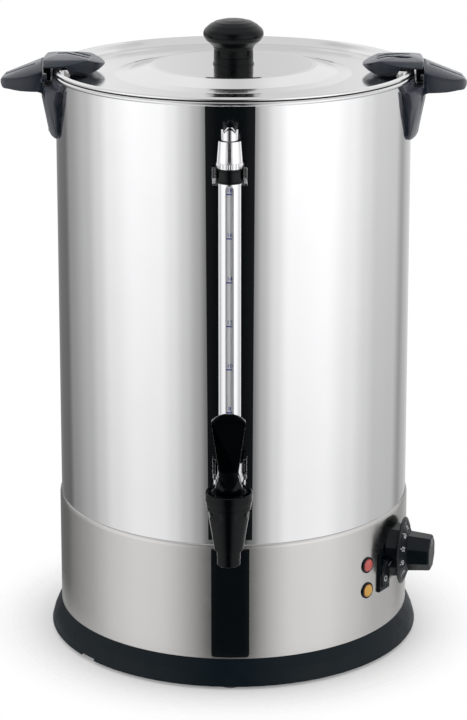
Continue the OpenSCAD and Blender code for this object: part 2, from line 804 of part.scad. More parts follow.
module catch(side) {
    slot_depth = 2.2;
    color(black) on_side(side) difference() {
        union() {
            intersection() {
                translate([0, 0, 450]) linear_extrude(30) catch_outline();
                side_slab(2 * grip_half_w + 2) catch_side();
                translate([95, 0, 0]) rotate([90, 0, 90]) linear_extrude(60) catch_section();
            }
            // Hook that reaches down outside the rolled rim.
            intersection() {
                translate([0, 0, 449.4]) ring(catch_r, 143.4, 14);
                translate([130, -hook_half, 440]) cube([30, 2 * hook_half, 30]);
            }
        }
        // Step in the hook that takes the handle's rib.
        translate([0, 0, 450.7]) ring(catch_r + 2, 146.6, 4.4);
        // Wavy slots in the top.
        translate([0, 0, catch_top_z - slot_depth - 1.5]) linear_extrude(10) {
            wavy_slot([111, -4], [138, -11]);
            wavy_slot([113, 5], [138, 0.5]);
        }
        rivet_places() translate([0, 0, pan_z - 1]) cylinder(r = 1.85, h = 7);
    }
}

module lid_catch_left() { catch("left"); }

module lid_catch_right() { catch("right"); }

module catch_rivets() {
    color(chrome_tint) for (side = ["left", "right"]) on_side(side) rivet_places() {
        translate([0, 0, pan_z - lid_t]) cylinder(r = 1.8, h = lid_t + 6);
        translate([0, 0, pan_z - lid_t - 1.2]) cylinder(r1 = 2.4, r2 = 3.4, h = 1.2);
    }
}

// ---------- level gauge ----------

guard_z0 = 176;
guard_z1 = 411.8;
window_z0 = 194;
window_z1 = 399.6;
glass_r = 5.4;
glass_in_r = 3.9;
glass_z0 = 176.5;
glass_z1 = 414;
clamp_z0 = 403;
clamp_z1 = 410.4;
clamp_r = 9.7;
nut_z1 = 416;

module at_gauge(z) { translate([0, -gauge_y, z]) children(); }

module gauge_guard() {
    color(chrome_tint) at_gauge(0) difference() {
        translate([0, 0, guard_z0]) ring(guard_r, guard_r - 1, guard_z1 - guard_z0);
        // Window down the front with a round top.
        translate([0, 0, window_z1 - window_w / 2]) rotate([90, 0, 0])
            cylinder(r = window_w / 2, h = 20);
        translate([-window_w / 2, -20, window_z0])
            cube([window_w, 20, window_z1 - window_w / 2 - window_z0]);
    }
}

module gauge_glass() {
    color([0.8, 0.9, 0.95, 0.4]) at_gauge(glass_z0) ring(glass_r, glass_in_r, glass_z1 - glass_z0);
}

module gauge_seals() {
    seal_h = 4;
    color(rubber) for (z = [glass_z0, clamp_z1 - 3])
        at_gauge(z) ring(guard_r - 1 - fit, glass_r + fit, seal_h);
}

module gauge_clamp() {
    color(black) at_gauge(clamp_z0) ring(clamp_r, guard_r + fit, clamp_z1 - clamp_z0);
}

cheek_half = 12.8;     // half the distance over a pair of cheeks

// Two cheeks that run back from the gauge, chamfered at their lower front corners.
module cheeks(z0, z1, back_y) {
    cheek_t = 2.2;
    chamfer = 5;
    intersection() {
        for (s = [-1, 1]) translate([s > 0 ? cheek_half - cheek_t : -cheek_half, -gauge_y - 5.5, z0])
            cube([cheek_t, back_y + gauge_y + 5.5, z1 - z0]);
        translate([0, 0, z0]) rotate([0, 90, 0]) rotate([0, 0, 90]) translate([-gauge_y, 0, -20])
            linear_extrude(40)
            polygon([[30, 0], [-1, 0], [-5.5, chamfer], [-5.5, z1 - z0], [30, z1 - z0]]);
    }
}

bracket_z0 = 400;
bracket_z1 = 413;

module gauge_bracket() {
    web_y = -gauge_y + clamp_r - 1.2;
    web_t = 3.2;
    foot_drop = 4;
    color(chrome_tint) difference() {
        union() {
            cheeks(bracket_z0, bracket_z1, -tank_r);
            translate([-cheek_half, web_y, bracket_z0])
                cube([2 * cheek_half, web_t, bracket_z1 - bracket_z0]);
            translate([-cheek_half, -tank_r - 3.6, bracket_z0 - foot_drop])
                cube([2 * cheek_half, 3, bracket_z1 - bracket_z0 + foot_drop]);
        }
        at_gauge(bracket_z0 - 1) cylinder(r = clamp_r + fit, h = 30);
        cylinder(r = tank_r + strip_t + fit, h = 500);
    }
}

module gauge_nut() {
    facets = 24;
    color(chrome_tint) at_gauge(guard_z1) difference() {
        cylinder(r = clamp_r - fit, h = nut_z1 - guard_z1);
        translate([0, 0, -1]) cylinder(r = glass_r + fit, h = 10);
        for (i = [0:facets - 1]) rotate([0, 0, i * 360 / facets]) translate([clamp_r + fit, 0, -1])
            cylinder(r = 0.45, h = 10, $fn = 4);
    }
}

module gauge_cap() {
    cone_z = nut_z1;
    top_z = 432;
    crown_top = 440.4;
    crown_out = 6.5;
    merlons = 4;
    color(chrome_tint) at_gauge(0) difference() {
        union() {
            difference() {
                turned([[0, cone_z], [9.5, cone_z], [9.5, cone_z + 1.5], [8.4, top_z], [7.5, top_z],
                        [7.7, top_z - 5], [0, top_z - 5]]);
                // Groove down the front of the cone.
                translate([-1.3, -10, cone_z + 1]) cube([2.6, 1.3, top_z - cone_z - 2]);
            }
            turned([[crown_out - 1.4, top_z - 6], [crown_out - 0.6, top_z - 6], [crown_out, crown_top],
                    [crown_out - 1.4, crown_top]]);
        }
        // V notches between the merlons.
        for (i = [0:merlons - 1]) rotate([0, 0, 45 + i * 90]) translate([0, 0, crown_top])
            rotate([0, 90, 0]) rotate([0, 0, 45]) cube([4.4, 4.4, 30], center = true);
        translate([0, 0, cone_z - 1]) cylinder(r = 3.8, h = 30);
    }
}

tee_front = 170;
tee_back = 143.6;

module gauge_tee() {
    z0 = 142;
    collar_z = 174;
    cheek_z1 = 190;
    color(chrome_tint) difference() {
        union() {
            translate([-12, -tee_front, z0]) cube([24, tee_front - tee_back, collar_z - z0]);
            at_gauge(collar_z - 1) cylinder(r = 10.6, h = 14);
            cheeks(collar_z - 1, cheek_z1, -tee_back);
        }
        outwards(0, tee_back - 1, shank_z) cylinder(r = 8 + fit, h = 40);
        at_gauge(guard_z0) cylinder(r = guard_r + fit, h = 30);
        at_gauge(shank_z) cylinder(r = 3, h = 40);
        cylinder(r = tank_r + strip_t + fit, h = 200);
        for (s = [-1, 1]) translate([s * 17, -tee_front - 4, z0 - 1]) rotate([0, 0, 45])
            cube([8, 8, 2 * collar_z - 2 * z0 + 3], center = true);
    }
}

// ---------- tap ----------

bonnet_z0 = 168.4;
bonnet_z1 = 178;
outlet_z0 = 121;
valve_seat_z = 144;    // where the outlet narrows to the valve's seat
seat_bore_r = 5.8;
chamber_z0 = 148.6;
chamber_r = 10.6;
stem_r = 2.5;
stem_z0 = 152;
pivot_z = 184.4;
pin_r = 1.25;
shank_r = 8;
shank_z0 = 121;        // inner end of the shank, from the urn's axis

module at_tap(z) { translate([0, -tap_y, z]) children(); }

module tap_body() {
    shoulder_front = tap_y - 9;
    waterway_r = 5;
    panel_z0 = 158.5;
    color(gloss_black) difference() {
        union() {
            at_tap(0) turned([[0, outlet_z0], [8.1, outlet_z0], [8.5, outlet_z0 + 0.4], [9, 133],
                              [11, 133.4], [11.2, 135], [12.9, 146.7], [15.2, 159.7], [16.6, 166],
                              [16.6, bonnet_z0], [0, bonnet_z0]]);
            // Shank that passes through the gauge tee and the tank's wall.
            outwards(0, shank_z0, shank_z) cylinder(r = shank_r, h = shoulder_front - shank_z0);
            outwards(0, tee_front, shank_z) cylinder(r = 11, h = shoulder_front - tee_front);
        }
        at_tap(chamber_z0) cylinder(r = chamber_r, h = 40);
        at_tap(outlet_z0 - 1) cylinder(r = outlet_r, h = valve_seat_z - outlet_z0 + 1);
        at_tap(outlet_z0) cylinder(r = seat_bore_r, h = 40);
        outwards(0, shank_z0 - 1, shank_z) cylinder(r = waterway_r, h = tap_y - shank_z0 - 5);
        // Port that feeds the gauge.
        at_gauge(shank_z) cylinder(r = 2.5, h = 10);
        // Shallow panels under the bonnet.
        at_tap(panel_z0) for (a = [-78, -34, 34, 78]) rotate([0, 0, a]) translate([-5, -17.6, 0])
            rotate([-8, 0, 0]) cube([10, 2.6, 6.5]);
    }
}

module tap_bonnet() {
    color(gloss_black) at_tap(0) difference() {
        turned([[0, bonnet_z0 - 4], [10.5, bonnet_z0 - 4], [10.5, bonnet_z0], [16.9, bonnet_z0],
                [17.6, 172], [17.6, bonnet_z1 - 0.6], [17, bonnet_z1], [12.8, bonnet_z1],
                [12.2, bonnet_z1 - 0.9], [0, bonnet_z1 - 0.9]]);
        translate([0, 0, stem_z0]) cylinder(r = stem_r + fit, h = 40);
        // Pocket for the closing spring.
        translate([0, 0, bonnet_z0 - 5]) cylinder(r = 7, h = 6);
    }
}

// The stem with the eye that the lever's pin runs in.
module valve_stem() {
    eye_r = 3.6;
    collar_z = 158.3;
    color(satin) at_tap(0) difference() {
        union() {
            translate([0, 0, stem_z0]) cylinder(r = stem_r, h = pivot_z - stem_z0);
            translate([0, 0, collar_z]) cylinder(r = 4.4, h = 1.4);
            intersection() {
                translate([-stem_r, 0, pivot_z]) rotate([0, 90, 0]) cylinder(r = eye_r, h = 2 * stem_r);
                translate([0, 0, pivot_z - 10]) cylinder(r = eye_r, h = 20);
            }
        }
        translate([-10, 0, pivot_z]) rotate([0, 90, 0]) cylinder(r = pin_r + fit, h = 20);
    }
}

module seat_cup() {
    color([0.85, 0.85, 0.84]) at_tap(0) difference() {
        turned([[0, chamber_z0 - 1.4], [seat_bore_r - 0.8, chamber_z0 - 1.4],
                [seat_bore_r - 0.1, chamber_z0 + fit], [8.6, chamber_z0 + fit], [9.6, chamber_z0 + 3],
                [9, 157.6], [4.6, 158.2], [0, 158.2]]);
        translate([0, 0, stem_z0]) cylinder(r = stem_r, h = 20);
    }
}

module lever_pin() {
    half = 6.8;
    color(chrome_tint) at_tap(pivot_z) translate([-half, 0, 0]) rotate([0, 90, 0])
        cylinder(r = pin_r, h = 2 * half);
}

// Distance of the bonnet's top below the pivot when the lever has turned by a.
cam_rest = pivot_z - bonnet_z1 - 0.25 + 0.9;
function cam_fall(a) = cam_rest + valve_rise * a / lever_turn;

// Flat-faced cam: the curve whose lowest tangent at turn a lies cam_fall(a) below the pivot.
cam_rate = valve_rise / lever_turn * 180 / PI;
function cam_point(a) =
    [-cam_fall(a) * sin(a) - cam_rate * cos(a), -cam_fall(a) * cos(a) + cam_rate * sin(a)];

module lever_side() {
    // Y and Z from the pivot. The front is towards -Y.
    cam_steps = 8;
    toe = cam_point(lever_turn);
    polygon(concat(
        [[6.2, -cam_rest]],
        [for (i = [0:cam_steps]) cam_point(lever_turn * i / cam_steps)],
        [[toe[0] - 0.4, toe[1] + 2.4], [-6.6, 7.6], [-10.6, 49], [-10.1, 55.6], [-8.6, 55.8]],
        [[-4.4, 49], [-2.2, 30], [5, 8.4], [8.6, -cam_rest + 3]]));
}

// Front outline: a round collar that necks in and a paddle that widens to an arched top.
module lever_front(inset = 0) {
    neck = 7 - inset;
    wide = 12.5 - inset;
    shoulder = 49.4;
    arch_r = 15.5;
    polygon(concat(
        [[-10.4 + inset, -12], [-10.4 + inset, -4], [-neck, 7.2]],
        [[-wide, shoulder]],
        arc(0, shoulder - arch_r * cos(54) + 0.4 - inset, arch_r, 90 + 52, 90 - 52, 8),
        [[wide, shoulder]],
        [[neck, 7.2], [10.4 - inset, -4], [10.4 - inset, -12]]));
}

module tap_lever() {
    slot = 2 * stem_r + 0.8;
    slot_half = 3.4;
    reach = 15;
    color(gloss_black) at_tap(pivot_z) difference() {
        intersection() {
            translate([-20, 0, 0]) rotate([90, 0, 90]) linear_extrude(40) lever_side();
            translate([0, 20, 0]) rotate([90, 0, 0]) linear_extrude(60) lever_front();
            union() {
                translate([0, 0, -12]) cylinder(r = 10.4, h = 17);
                translate([-20, -20, 4.9]) cube([40, 40, 60]);
            }
        }
        // Slot for the stem, open below through the whole turn.
        translate([-slot / 2, 0, 0]) rotate([90, 0, 90]) linear_extrude(slot)
            polygon(concat(
                [[slot_half, 0], [slot_half, -reach]],
                [for (a = [0:10:lever_turn]) [-reach * sin(a) - slot_half * cos(a),
                                              -reach * cos(a) + slot_half * sin(a)]],
                [[-slot_half * cos(lever_turn), slot_half * sin(lever_turn)]]));
        translate([-slot / 2, 0, 0]) rotate([0, 90, 0]) cylinder(r = 4.1, h = slot);
        translate([-20, 0, 0]) rotate([0, 90, 0]) cylinder(r = pin_r + fit, h = 40);
        // Dished face of the paddle inside a raised rim.
        translate([0, -4, 0]) rotate([5.6, 0, 0]) translate([0, -1.4, 9.5]) rotate([90, 0, 0])
            linear_extrude(20) intersection() {
                translate([0, -9.5]) lever_front(1.6);
                translate([-20, 1.5]) square([40, 43]);
            }
    }
}

inner_seal_y = 135.6;

module shank_seals() {
    seal_r = 12;
    outer_seal_y = tank_r + strip_t + 0.05;
    color(rubber) {
        outwards(0, outer_seal_y, shank_z) ring(seal_r, shank_r + fit, tee_back - outer_seal_y);
        outwards(0, inner_seal_y, shank_z) ring(seal_r, shank_r + fit, 2.4);
    }
}

module shank_nut() {
    nut_h = 7;
    color(chrome_tint) outwards(0, inner_seal_y - nut_h, shank_z) difference() {
        cylinder(r = 14, h = nut_h, $fn = 6);
        translate([0, 0, -1]) cylinder(r = shank_r + fit, h = 20);
    }
}

base_ring();
bottom_plate();
base_screws();
feet();
cord_gland();
lower_housing();
tank_ledge();
front_strip_upper();
front_strip_lower();
tank();
heat_spreader();
heating_element();
keep_warm_element();
element_clamp();
clamp_nut();
thermostat_body();
thermostat_boss();
thermostat_shaft();
thermostat_knob();
switch_body();
switch_rocker();
lamp_bezels();
heating_lamp();
keep_warm_lamp();
boil_dry_cutout();
reset_button();
terminal_block();
handle_left();
handle_right();
handle_screws();
lid();
lid_seal();
lid_knob();
knob_spacer();
knob_screw();
lid_catch_left();
lid_catch_right();
catch_rivets();
gauge_guard();
gauge_glass();
gauge_cap();
gauge_nut();
gauge_clamp();
gauge_bracket();
gauge_tee();
gauge_seals();
tap_body();
tap_bonnet();
tap_lever();
lever_pin();
valve_stem();
seat_cup();
shank_seals();
shank_nut();
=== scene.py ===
"""Studio scene of the hot water urn: finishes, finer visible pieces, stage and camera.

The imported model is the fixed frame. Everything is in metres, +Z is up and -Y is the front.
"""

import json
import logging
import math
from collections.abc import Iterable, Mapping, Sequence
from dataclasses import dataclass
from enum import Enum

import bmesh
import bpy
from bpy.types import ID, Material, Mesh, Node, NodeSocket, NodeTree, Object, World
from mathutils import Matrix, Vector
from mathutils.bvhtree import BVHTree

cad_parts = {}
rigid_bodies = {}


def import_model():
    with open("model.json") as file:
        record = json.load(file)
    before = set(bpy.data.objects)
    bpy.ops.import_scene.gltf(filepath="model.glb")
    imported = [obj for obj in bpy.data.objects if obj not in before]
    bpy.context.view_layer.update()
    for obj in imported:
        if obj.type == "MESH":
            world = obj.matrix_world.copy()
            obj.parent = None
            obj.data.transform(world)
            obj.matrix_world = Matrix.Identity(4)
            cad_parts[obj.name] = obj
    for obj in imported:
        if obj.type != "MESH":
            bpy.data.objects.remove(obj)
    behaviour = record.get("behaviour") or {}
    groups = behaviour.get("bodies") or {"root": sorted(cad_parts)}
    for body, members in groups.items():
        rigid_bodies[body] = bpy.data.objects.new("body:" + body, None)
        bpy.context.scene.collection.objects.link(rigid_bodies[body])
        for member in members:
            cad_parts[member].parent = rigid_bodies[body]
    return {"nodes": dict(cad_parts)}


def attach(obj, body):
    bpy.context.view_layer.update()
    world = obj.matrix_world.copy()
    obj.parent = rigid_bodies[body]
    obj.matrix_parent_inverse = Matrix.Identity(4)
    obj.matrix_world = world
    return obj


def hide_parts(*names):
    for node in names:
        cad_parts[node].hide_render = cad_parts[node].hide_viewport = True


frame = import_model()

LOG = logging.getLogger("urn")
MM = 0.001
MERGE_GAP = 1e-4  # millimetres under which corners of a drawn mesh are one
SOFT_ANGLE = 34.0  # degrees under which edges of a finished mesh are smooth
TURNED_STEPS = 96  # faces round a turned form
NOISE_MIDDLE = (0.3, 0.7)  # where most of a noise's values lie
FLOAT, COLOUR, VECTOR = "NodeSocketFloat", "NodeSocketColor", "NodeSocketVector"
BMesh = bmesh.types.BMesh
BMVert = bmesh.types.BMVert
Point2 = tuple[float, float]
Point3 = tuple[float, float, float]
Colour = tuple[float, float, float]


# ---------- meshes ----------


def arc(cx: float, cy: float, r: float, a0: float, a1: float, steps: int = 8) -> list[Point2]:
    """Gives points of an arc.

    Args:
        cx: Centre, first coordinate.
        cy: Centre, second coordinate.
        r: Radius.
        a0: First angle in degrees.
        a1: Last angle in degrees.
        steps: Number of chords.

    Returns:
        The points from a0 to a1.
    """
    angles = [math.radians(a0 + (a1 - a0) * i / steps) for i in range(steps + 1)]
    return [(cx + r * math.cos(a), cy + r * math.sin(a)) for a in angles]


def outwards(azimuth: float, radius: float, height: float, aim: float | None = None) -> Matrix:
    """Gives the frame whose +Z points away from the urn's axis and whose +Y points up.

    Args:
        azimuth: Degrees from the front, turning towards +X.
        radius: Distance of the frame's origin from the axis, in millimetres.
        height: Height of the frame's origin, in millimetres.
        aim: Azimuth that +Z points to, where it is another one.

    Returns:
        A matrix from millimetres in that frame to millimetres in the urn's.
    """
    a = math.radians(azimuth)
    place = Matrix.Translation((radius * math.sin(a), -radius * math.cos(a), height))
    turn = Matrix.Rotation(math.radians(azimuth if aim is None else aim), 4, "Z")
    return place @ turn @ Matrix.Rotation(math.pi / 2, 4, "X")


def raised(y: float, x: float = 0.0) -> Matrix:
    """Gives a shift along a frame's +Y and +X in millimetres."""
    return Matrix.Translation((x, y, 0.0))


def linked(name: str, data: ID) -> Object:
    """Makes an object of some data in the scene.

    Args:
        name: Name of the object.
        data: Its mesh, curve, camera or light.

    Returns:
        The object.
    """
    made = bpy.data.objects.new(name, data)
    bpy.context.scene.collection.objects.link(made)
    return made


def evaluated_mesh(draft: Object) -> Mesh:
    """Turns a drafted object into a mesh and removes the draft.

    Args:
        draft: A curve, or an object with modifiers.

    Returns:
        Its mesh with the modifiers applied.
    """
    bpy.context.view_layer.update()
    graph = bpy.context.evaluated_depsgraph_get()
    made = bpy.data.meshes.new_from_object(draft.evaluated_get(graph))
    bpy.data.objects.remove(draft)
    return made


def plain_mesh(draft: Object) -> Mesh:
    """Turns a drafted object into a shaded mesh without materials.

    Args:
        draft: The object, which is removed.

    Returns:
        Its mesh.
    """
    made = evaluated_mesh(draft)
    made.materials.clear()
    made.shade_smooth()
    made.set_sharp_from_angle(angle=math.radians(SOFT_ANGLE))
    return made


def mesh_object(name: str, bm: BMesh, sharp: float = 32.0) -> Object:
    """Makes an object of a bmesh drawn in millimetres.

    Args:
        name: Name of the piece.
        bm: The mesh, which is freed here.
        sharp: Edges that bend by more than this many degrees stay sharp.

    Returns:
        The object, at the origin, with its place in its mesh.
    """
    bmesh.ops.remove_doubles(bm, verts=bm.verts, dist=MERGE_GAP)
    bmesh.ops.recalc_face_normals(bm, faces=bm.faces)
    bmesh.ops.scale(bm, vec=(MM, MM, MM), verts=bm.verts)
    mesh = bpy.data.meshes.new(name)
    bm.to_mesh(mesh)
    bm.free()
    mesh.shade_smooth()
    mesh.set_sharp_from_angle(angle=math.radians(sharp))
    return linked(name, mesh)


def revolve(
    bm: BMesh,
    profile: Sequence[Point2],
    steps: int = TURNED_STEPS,
    closed: bool = True,
    place: Matrix | None = None,
) -> None:
    """Adds a solid of revolution about +Z.

    Args:
        bm: The mesh to add to.
        profile: Radius and height pairs.
        steps: Faces round the axis.
        closed: Whether the profile's last point joins its first.
        place: Frame that the solid stands in.
    """
    rings: list[list[BMVert]] = []
    place = place or Matrix()
    for r, z in profile:
        if r == 0.0:
            rings.append([bm.verts.new(place @ Vector((0.0, 0.0, z)))])
            continue
        turn = [2 * math.pi * i / steps for i in range(steps)]
        rings.append([bm.verts.new(place @ Vector((r * math.sin(a), -r * math.cos(a), z))) for a in turn])
    pairs = list(zip(rings, rings[1:]))
    if closed and len(rings[-1]) + len(rings[0]) > 2:
        pairs.append((rings[-1], rings[0]))
    for low, high in pairs:
        if len(low) == 1 and len(high) == 1:
            continue
        for i in range(steps):
            j = (i + 1) % steps
            corners = [low[i % len(low)], low[j % len(low)], high[j % len(high)], high[i % len(high)]]
            face = list(dict.fromkeys(corners))
            if len(face) > 2:
                bm.faces.new(face)


def prism(bm: BMesh, outline: Sequence[Point2], z0: float, z1: float) -> None:
    """Adds a prism over an outline.

    Args:
        bm: The mesh to add to.
        outline: Corners in order.
        z0: Height of the bottom.
        z1: Height of the top.
    """
    low = [bm.verts.new((x, y, z0)) for x, y in outline]
    high = [bm.verts.new((x, y, z1)) for x, y in outline]
    bm.faces.new(list(reversed(low)))
    bm.faces.new(high)
    for i, corner in enumerate(low):
        j = (i + 1) % len(low)
        bm.faces.new([corner, low[j], high[j], high[i]])


# ---------- shader groups ----------


def grey(value: float) -> tuple[float, float, float, float]:
    """Gives a grey of some brightness."""
    return (value, value, value, 1.0)


class Weave:
    """Builds one node tree with short calls."""

    def __init__(self, tree: NodeTree, prefix: str = "ShaderNode") -> None:
        """Keeps the tree.

        Args:
            tree: The tree.
            prefix: What its node types' names start with.
        """
        self.tree = tree
        self.prefix = prefix

    @classmethod
    def of(cls, owner: Material | World) -> "Weave":
        """Empties the nodes of a material or a world.

        Args:
            owner: The material or world.

        Returns:
            The weave of its tree.
        """
        owner.use_nodes = True
        owner.node_tree.nodes.clear()
        return cls(owner.node_tree)

    def node(
        self, kind: str, inputs: Mapping[str | int, object] | None = None, **settings: object
    ) -> Node:
        """Adds a node.

        Args:
            kind: Node type without its prefix.
            inputs: What its inputs get, as sockets or values.
            **settings: Properties of the node.

        Returns:
            The node.
        """
        made = self.tree.nodes.new(self.prefix + kind)
        for key, value in settings.items():
            setattr(made, key, value)
        for key, value in (inputs or {}).items():
            if isinstance(value, NodeSocket):
                self.link(value, made.inputs[key])
            else:
                made.inputs[key].default_value = value
        return made

    def link(self, source: NodeSocket, target: NodeSocket) -> None:
        """Joins two sockets."""
        self.tree.links.new(source, target)

    def maths(self, operation: str, a: object, b: object = 0.0, clamp: bool = False) -> NodeSocket:
        """Adds a maths node.

        Args:
            operation: The operation's name.
            a: First number or socket.
            b: Second number or socket.
            clamp: Whether the result is held between 0 and 1.

        Returns:
            The result's socket.
        """
        return self.node("Math", {0: a, 1: b}, operation=operation, use_clamp=clamp).outputs[0]

    def noise(self, vector: NodeSocket, scale: object, detail: float) -> NodeSocket:
        """Adds a noise texture.

        Args:
            vector: Where it is read.
            scale: Its scale.
            detail: How many finer layers it has.

        Returns:
            The socket of its value.
        """
        return self.node("TexNoise", {"Vector": vector, "Scale": scale, "Detail": detail}).outputs["Fac"]

    def between(
        self,
        value: NodeSocket,
        source: Point2,
        target: tuple[object, object] = (0.0, 1.0),
        smooth: bool = False,
    ) -> NodeSocket:
        """Maps a value from one range to another.

        Args:
            value: The value.
            source: Ends of its range.
            target: Ends of the new range, which can be sockets.
            smooth: Whether the ends are eased.

        Returns:
            The new value, held inside its range.
        """
        labels = ("Value", "From Min", "From Max", "To Min", "To Max")
        ends = dict(zip(labels, (value, *source, *target)))
        style = "SMOOTHSTEP" if smooth else "LINEAR"
        return self.node("MapRange", ends, interpolation_type=style).outputs["Result"]

    def spread(self, value: NodeSocket, low: object = 0.0, high: object = 1.0) -> NodeSocket:
        """Maps the middle of a noise to the range from low to high."""
        return self.between(value, NOISE_MIDDLE, (low, high))


class Effects:
    """The shader groups that several finishes share.

    Each noise has its scale per metre and its detail.
    """

    CLOUDS = (22.0, 4.0)
    PATCHES = (90.0, 2.0)
    GRAIN_DETAIL = 1.5
    LINE_DETAIL = 5.0
    WIPE_CLOUDS = (14.0, 5.0)
    WIPES = (6.0, 6.0)
    WIPE_STRETCH = (9.0, 9.0, 2.5)
    DENTS = (7.0, 1.0)

    def __init__(self) -> None:
        """Builds each group once."""
        self.grain = self._grain()
        self.brushing = self._brushing()
        self.handling = self._handling()

    @staticmethod
    def _group(
        name: str, inputs: Sequence[tuple[str, str, object]], outputs: Sequence[tuple[str, str]]
    ) -> tuple[Weave, Mapping[str, NodeSocket], Mapping[str, NodeSocket], NodeSocket]:
        """Makes an empty group.

        Args:
            name: Name of the group.
            inputs: Name, socket type and default of each input.
            outputs: Name and socket type of each output.

        Returns:
            Its weave, the sockets that it is given and puts out, and the surface's coordinates.
        """
        tree = bpy.data.node_groups.new(name, "ShaderNodeTree")
        for label, kind, value in inputs:
            tree.interface.new_socket(label, in_out="INPUT", socket_type=kind).default_value = value
        for label, kind in outputs:
            tree.interface.new_socket(label, in_out="OUTPUT", socket_type=kind)
        weave = Weave(tree)
        given = tree.nodes.new("NodeGroupInput").outputs
        out = tree.nodes.new("NodeGroupOutput").inputs
        return weave, given, out, weave.node("TexCoord").outputs["Object"]

    def _grain(self) -> NodeTree:
        """Fine moulded or cast grain with a slow drift of colour and gloss.

        Returns:
            The group.
        """
        weave, given, out, where = self._group(
            "moulded_grain",
            [("Colour", COLOUR, grey(0.1)), ("Drift", FLOAT, 0.1), ("Grain Scale", FLOAT, 2500.0),
             ("Roughness", FLOAT, 0.4), ("Roughness Spread", FLOAT, 0.05)],
            [("Colour", COLOUR), ("Roughness", FLOAT), ("Height", FLOAT)],
        )
        low = weave.maths("SUBTRACT", 1.0, given["Drift"])
        high = weave.maths("ADD", 1.0, given["Drift"])
        cloud = weave.spread(weave.noise(where, *self.CLOUDS), low, high)
        tone = weave.node("HueSaturation", {"Value": cloud, "Color": given["Colour"]})
        weave.link(tone.outputs["Color"], out["Colour"])
        patch = weave.spread(weave.noise(where, *self.PATCHES), -1.0)
        span = weave.maths("MULTIPLY", given["Roughness Spread"], patch)
        weave.link(weave.maths("ADD", given["Roughness"], span, True), out["Roughness"])
        weave.link(weave.noise(where, given["Grain Scale"], self.GRAIN_DETAIL), out["Height"])
        return weave.tree

    def _brushing(self) -> NodeTree:
        """Long fine scratches left by rolling or brushing, stretched along chosen axes.

        Returns:
            The group.
        """
        weave, given, out, where = self._group(
            "brushed_lines",
            [("Stretch", VECTOR, (1.0, 1.0, 60.0)), ("Scale", FLOAT, 60.0)],
            [("Mask", FLOAT), ("Height", FLOAT)],
        )
        pulled = weave.node("VectorMath", {0: where, 1: given["Stretch"]}, operation="MULTIPLY")
        lines = weave.noise(pulled.outputs["Vector"], given["Scale"], self.LINE_DETAIL)
        weave.link(weave.spread(lines), out["Mask"])
        weave.link(lines, out["Height"])
        return weave.tree

    def _handling(self) -> NodeTree:
        """Faint wipe marks and cloudy patches on a polished surface.

        Returns:
            The group.
        """
        weave, given, out, where = self._group(
            "wipe_marks",
            [("Amount", FLOAT, 0.03), ("Roughness", FLOAT, 0.06)],
            [("Roughness", FLOAT), ("Height", FLOAT)],
        )
        pulled = weave.node("Mapping", {"Vector": where, "Scale": self.WIPE_STRETCH}).outputs["Vector"]
        cloud = weave.spread(weave.noise(where, *self.WIPE_CLOUDS))
        wipes = weave.spread(weave.noise(pulled, *self.WIPES))
        extra = weave.maths("MULTIPLY", weave.maths("MULTIPLY", cloud, wipes), given["Amount"])
        weave.link(weave.maths("ADD", given["Roughness"], extra, True), out["Roughness"])
        weave.link(weave.noise(where, *self.DENTS), out["Height"])
        return weave.tree


# ---------- finishes ----------


class Kind(Enum):
    """How a finish is built."""

    MOULDED = "moulded"
    BRUSHED = "brushed"
    POLISHED = "polished"


class Lay(Enum):
    """Stretch of the brushed lines along x, y and z."""

    AROUND = (1.0, 1.0, 45.0)
    ACROSS = (1.0, 30.0, 30.0)


COAT_ROUGHNESS = 0.14
SHEEN_ROUGHNESS = 0.35
SHEEN_TINT = (0.88, 0.89, 1.0, 1.0)
LINE_SCALE = 70.0  # brushed lines per metre before their stretch
EDGE_SAMPLES = 4  # rays that round a hard edge


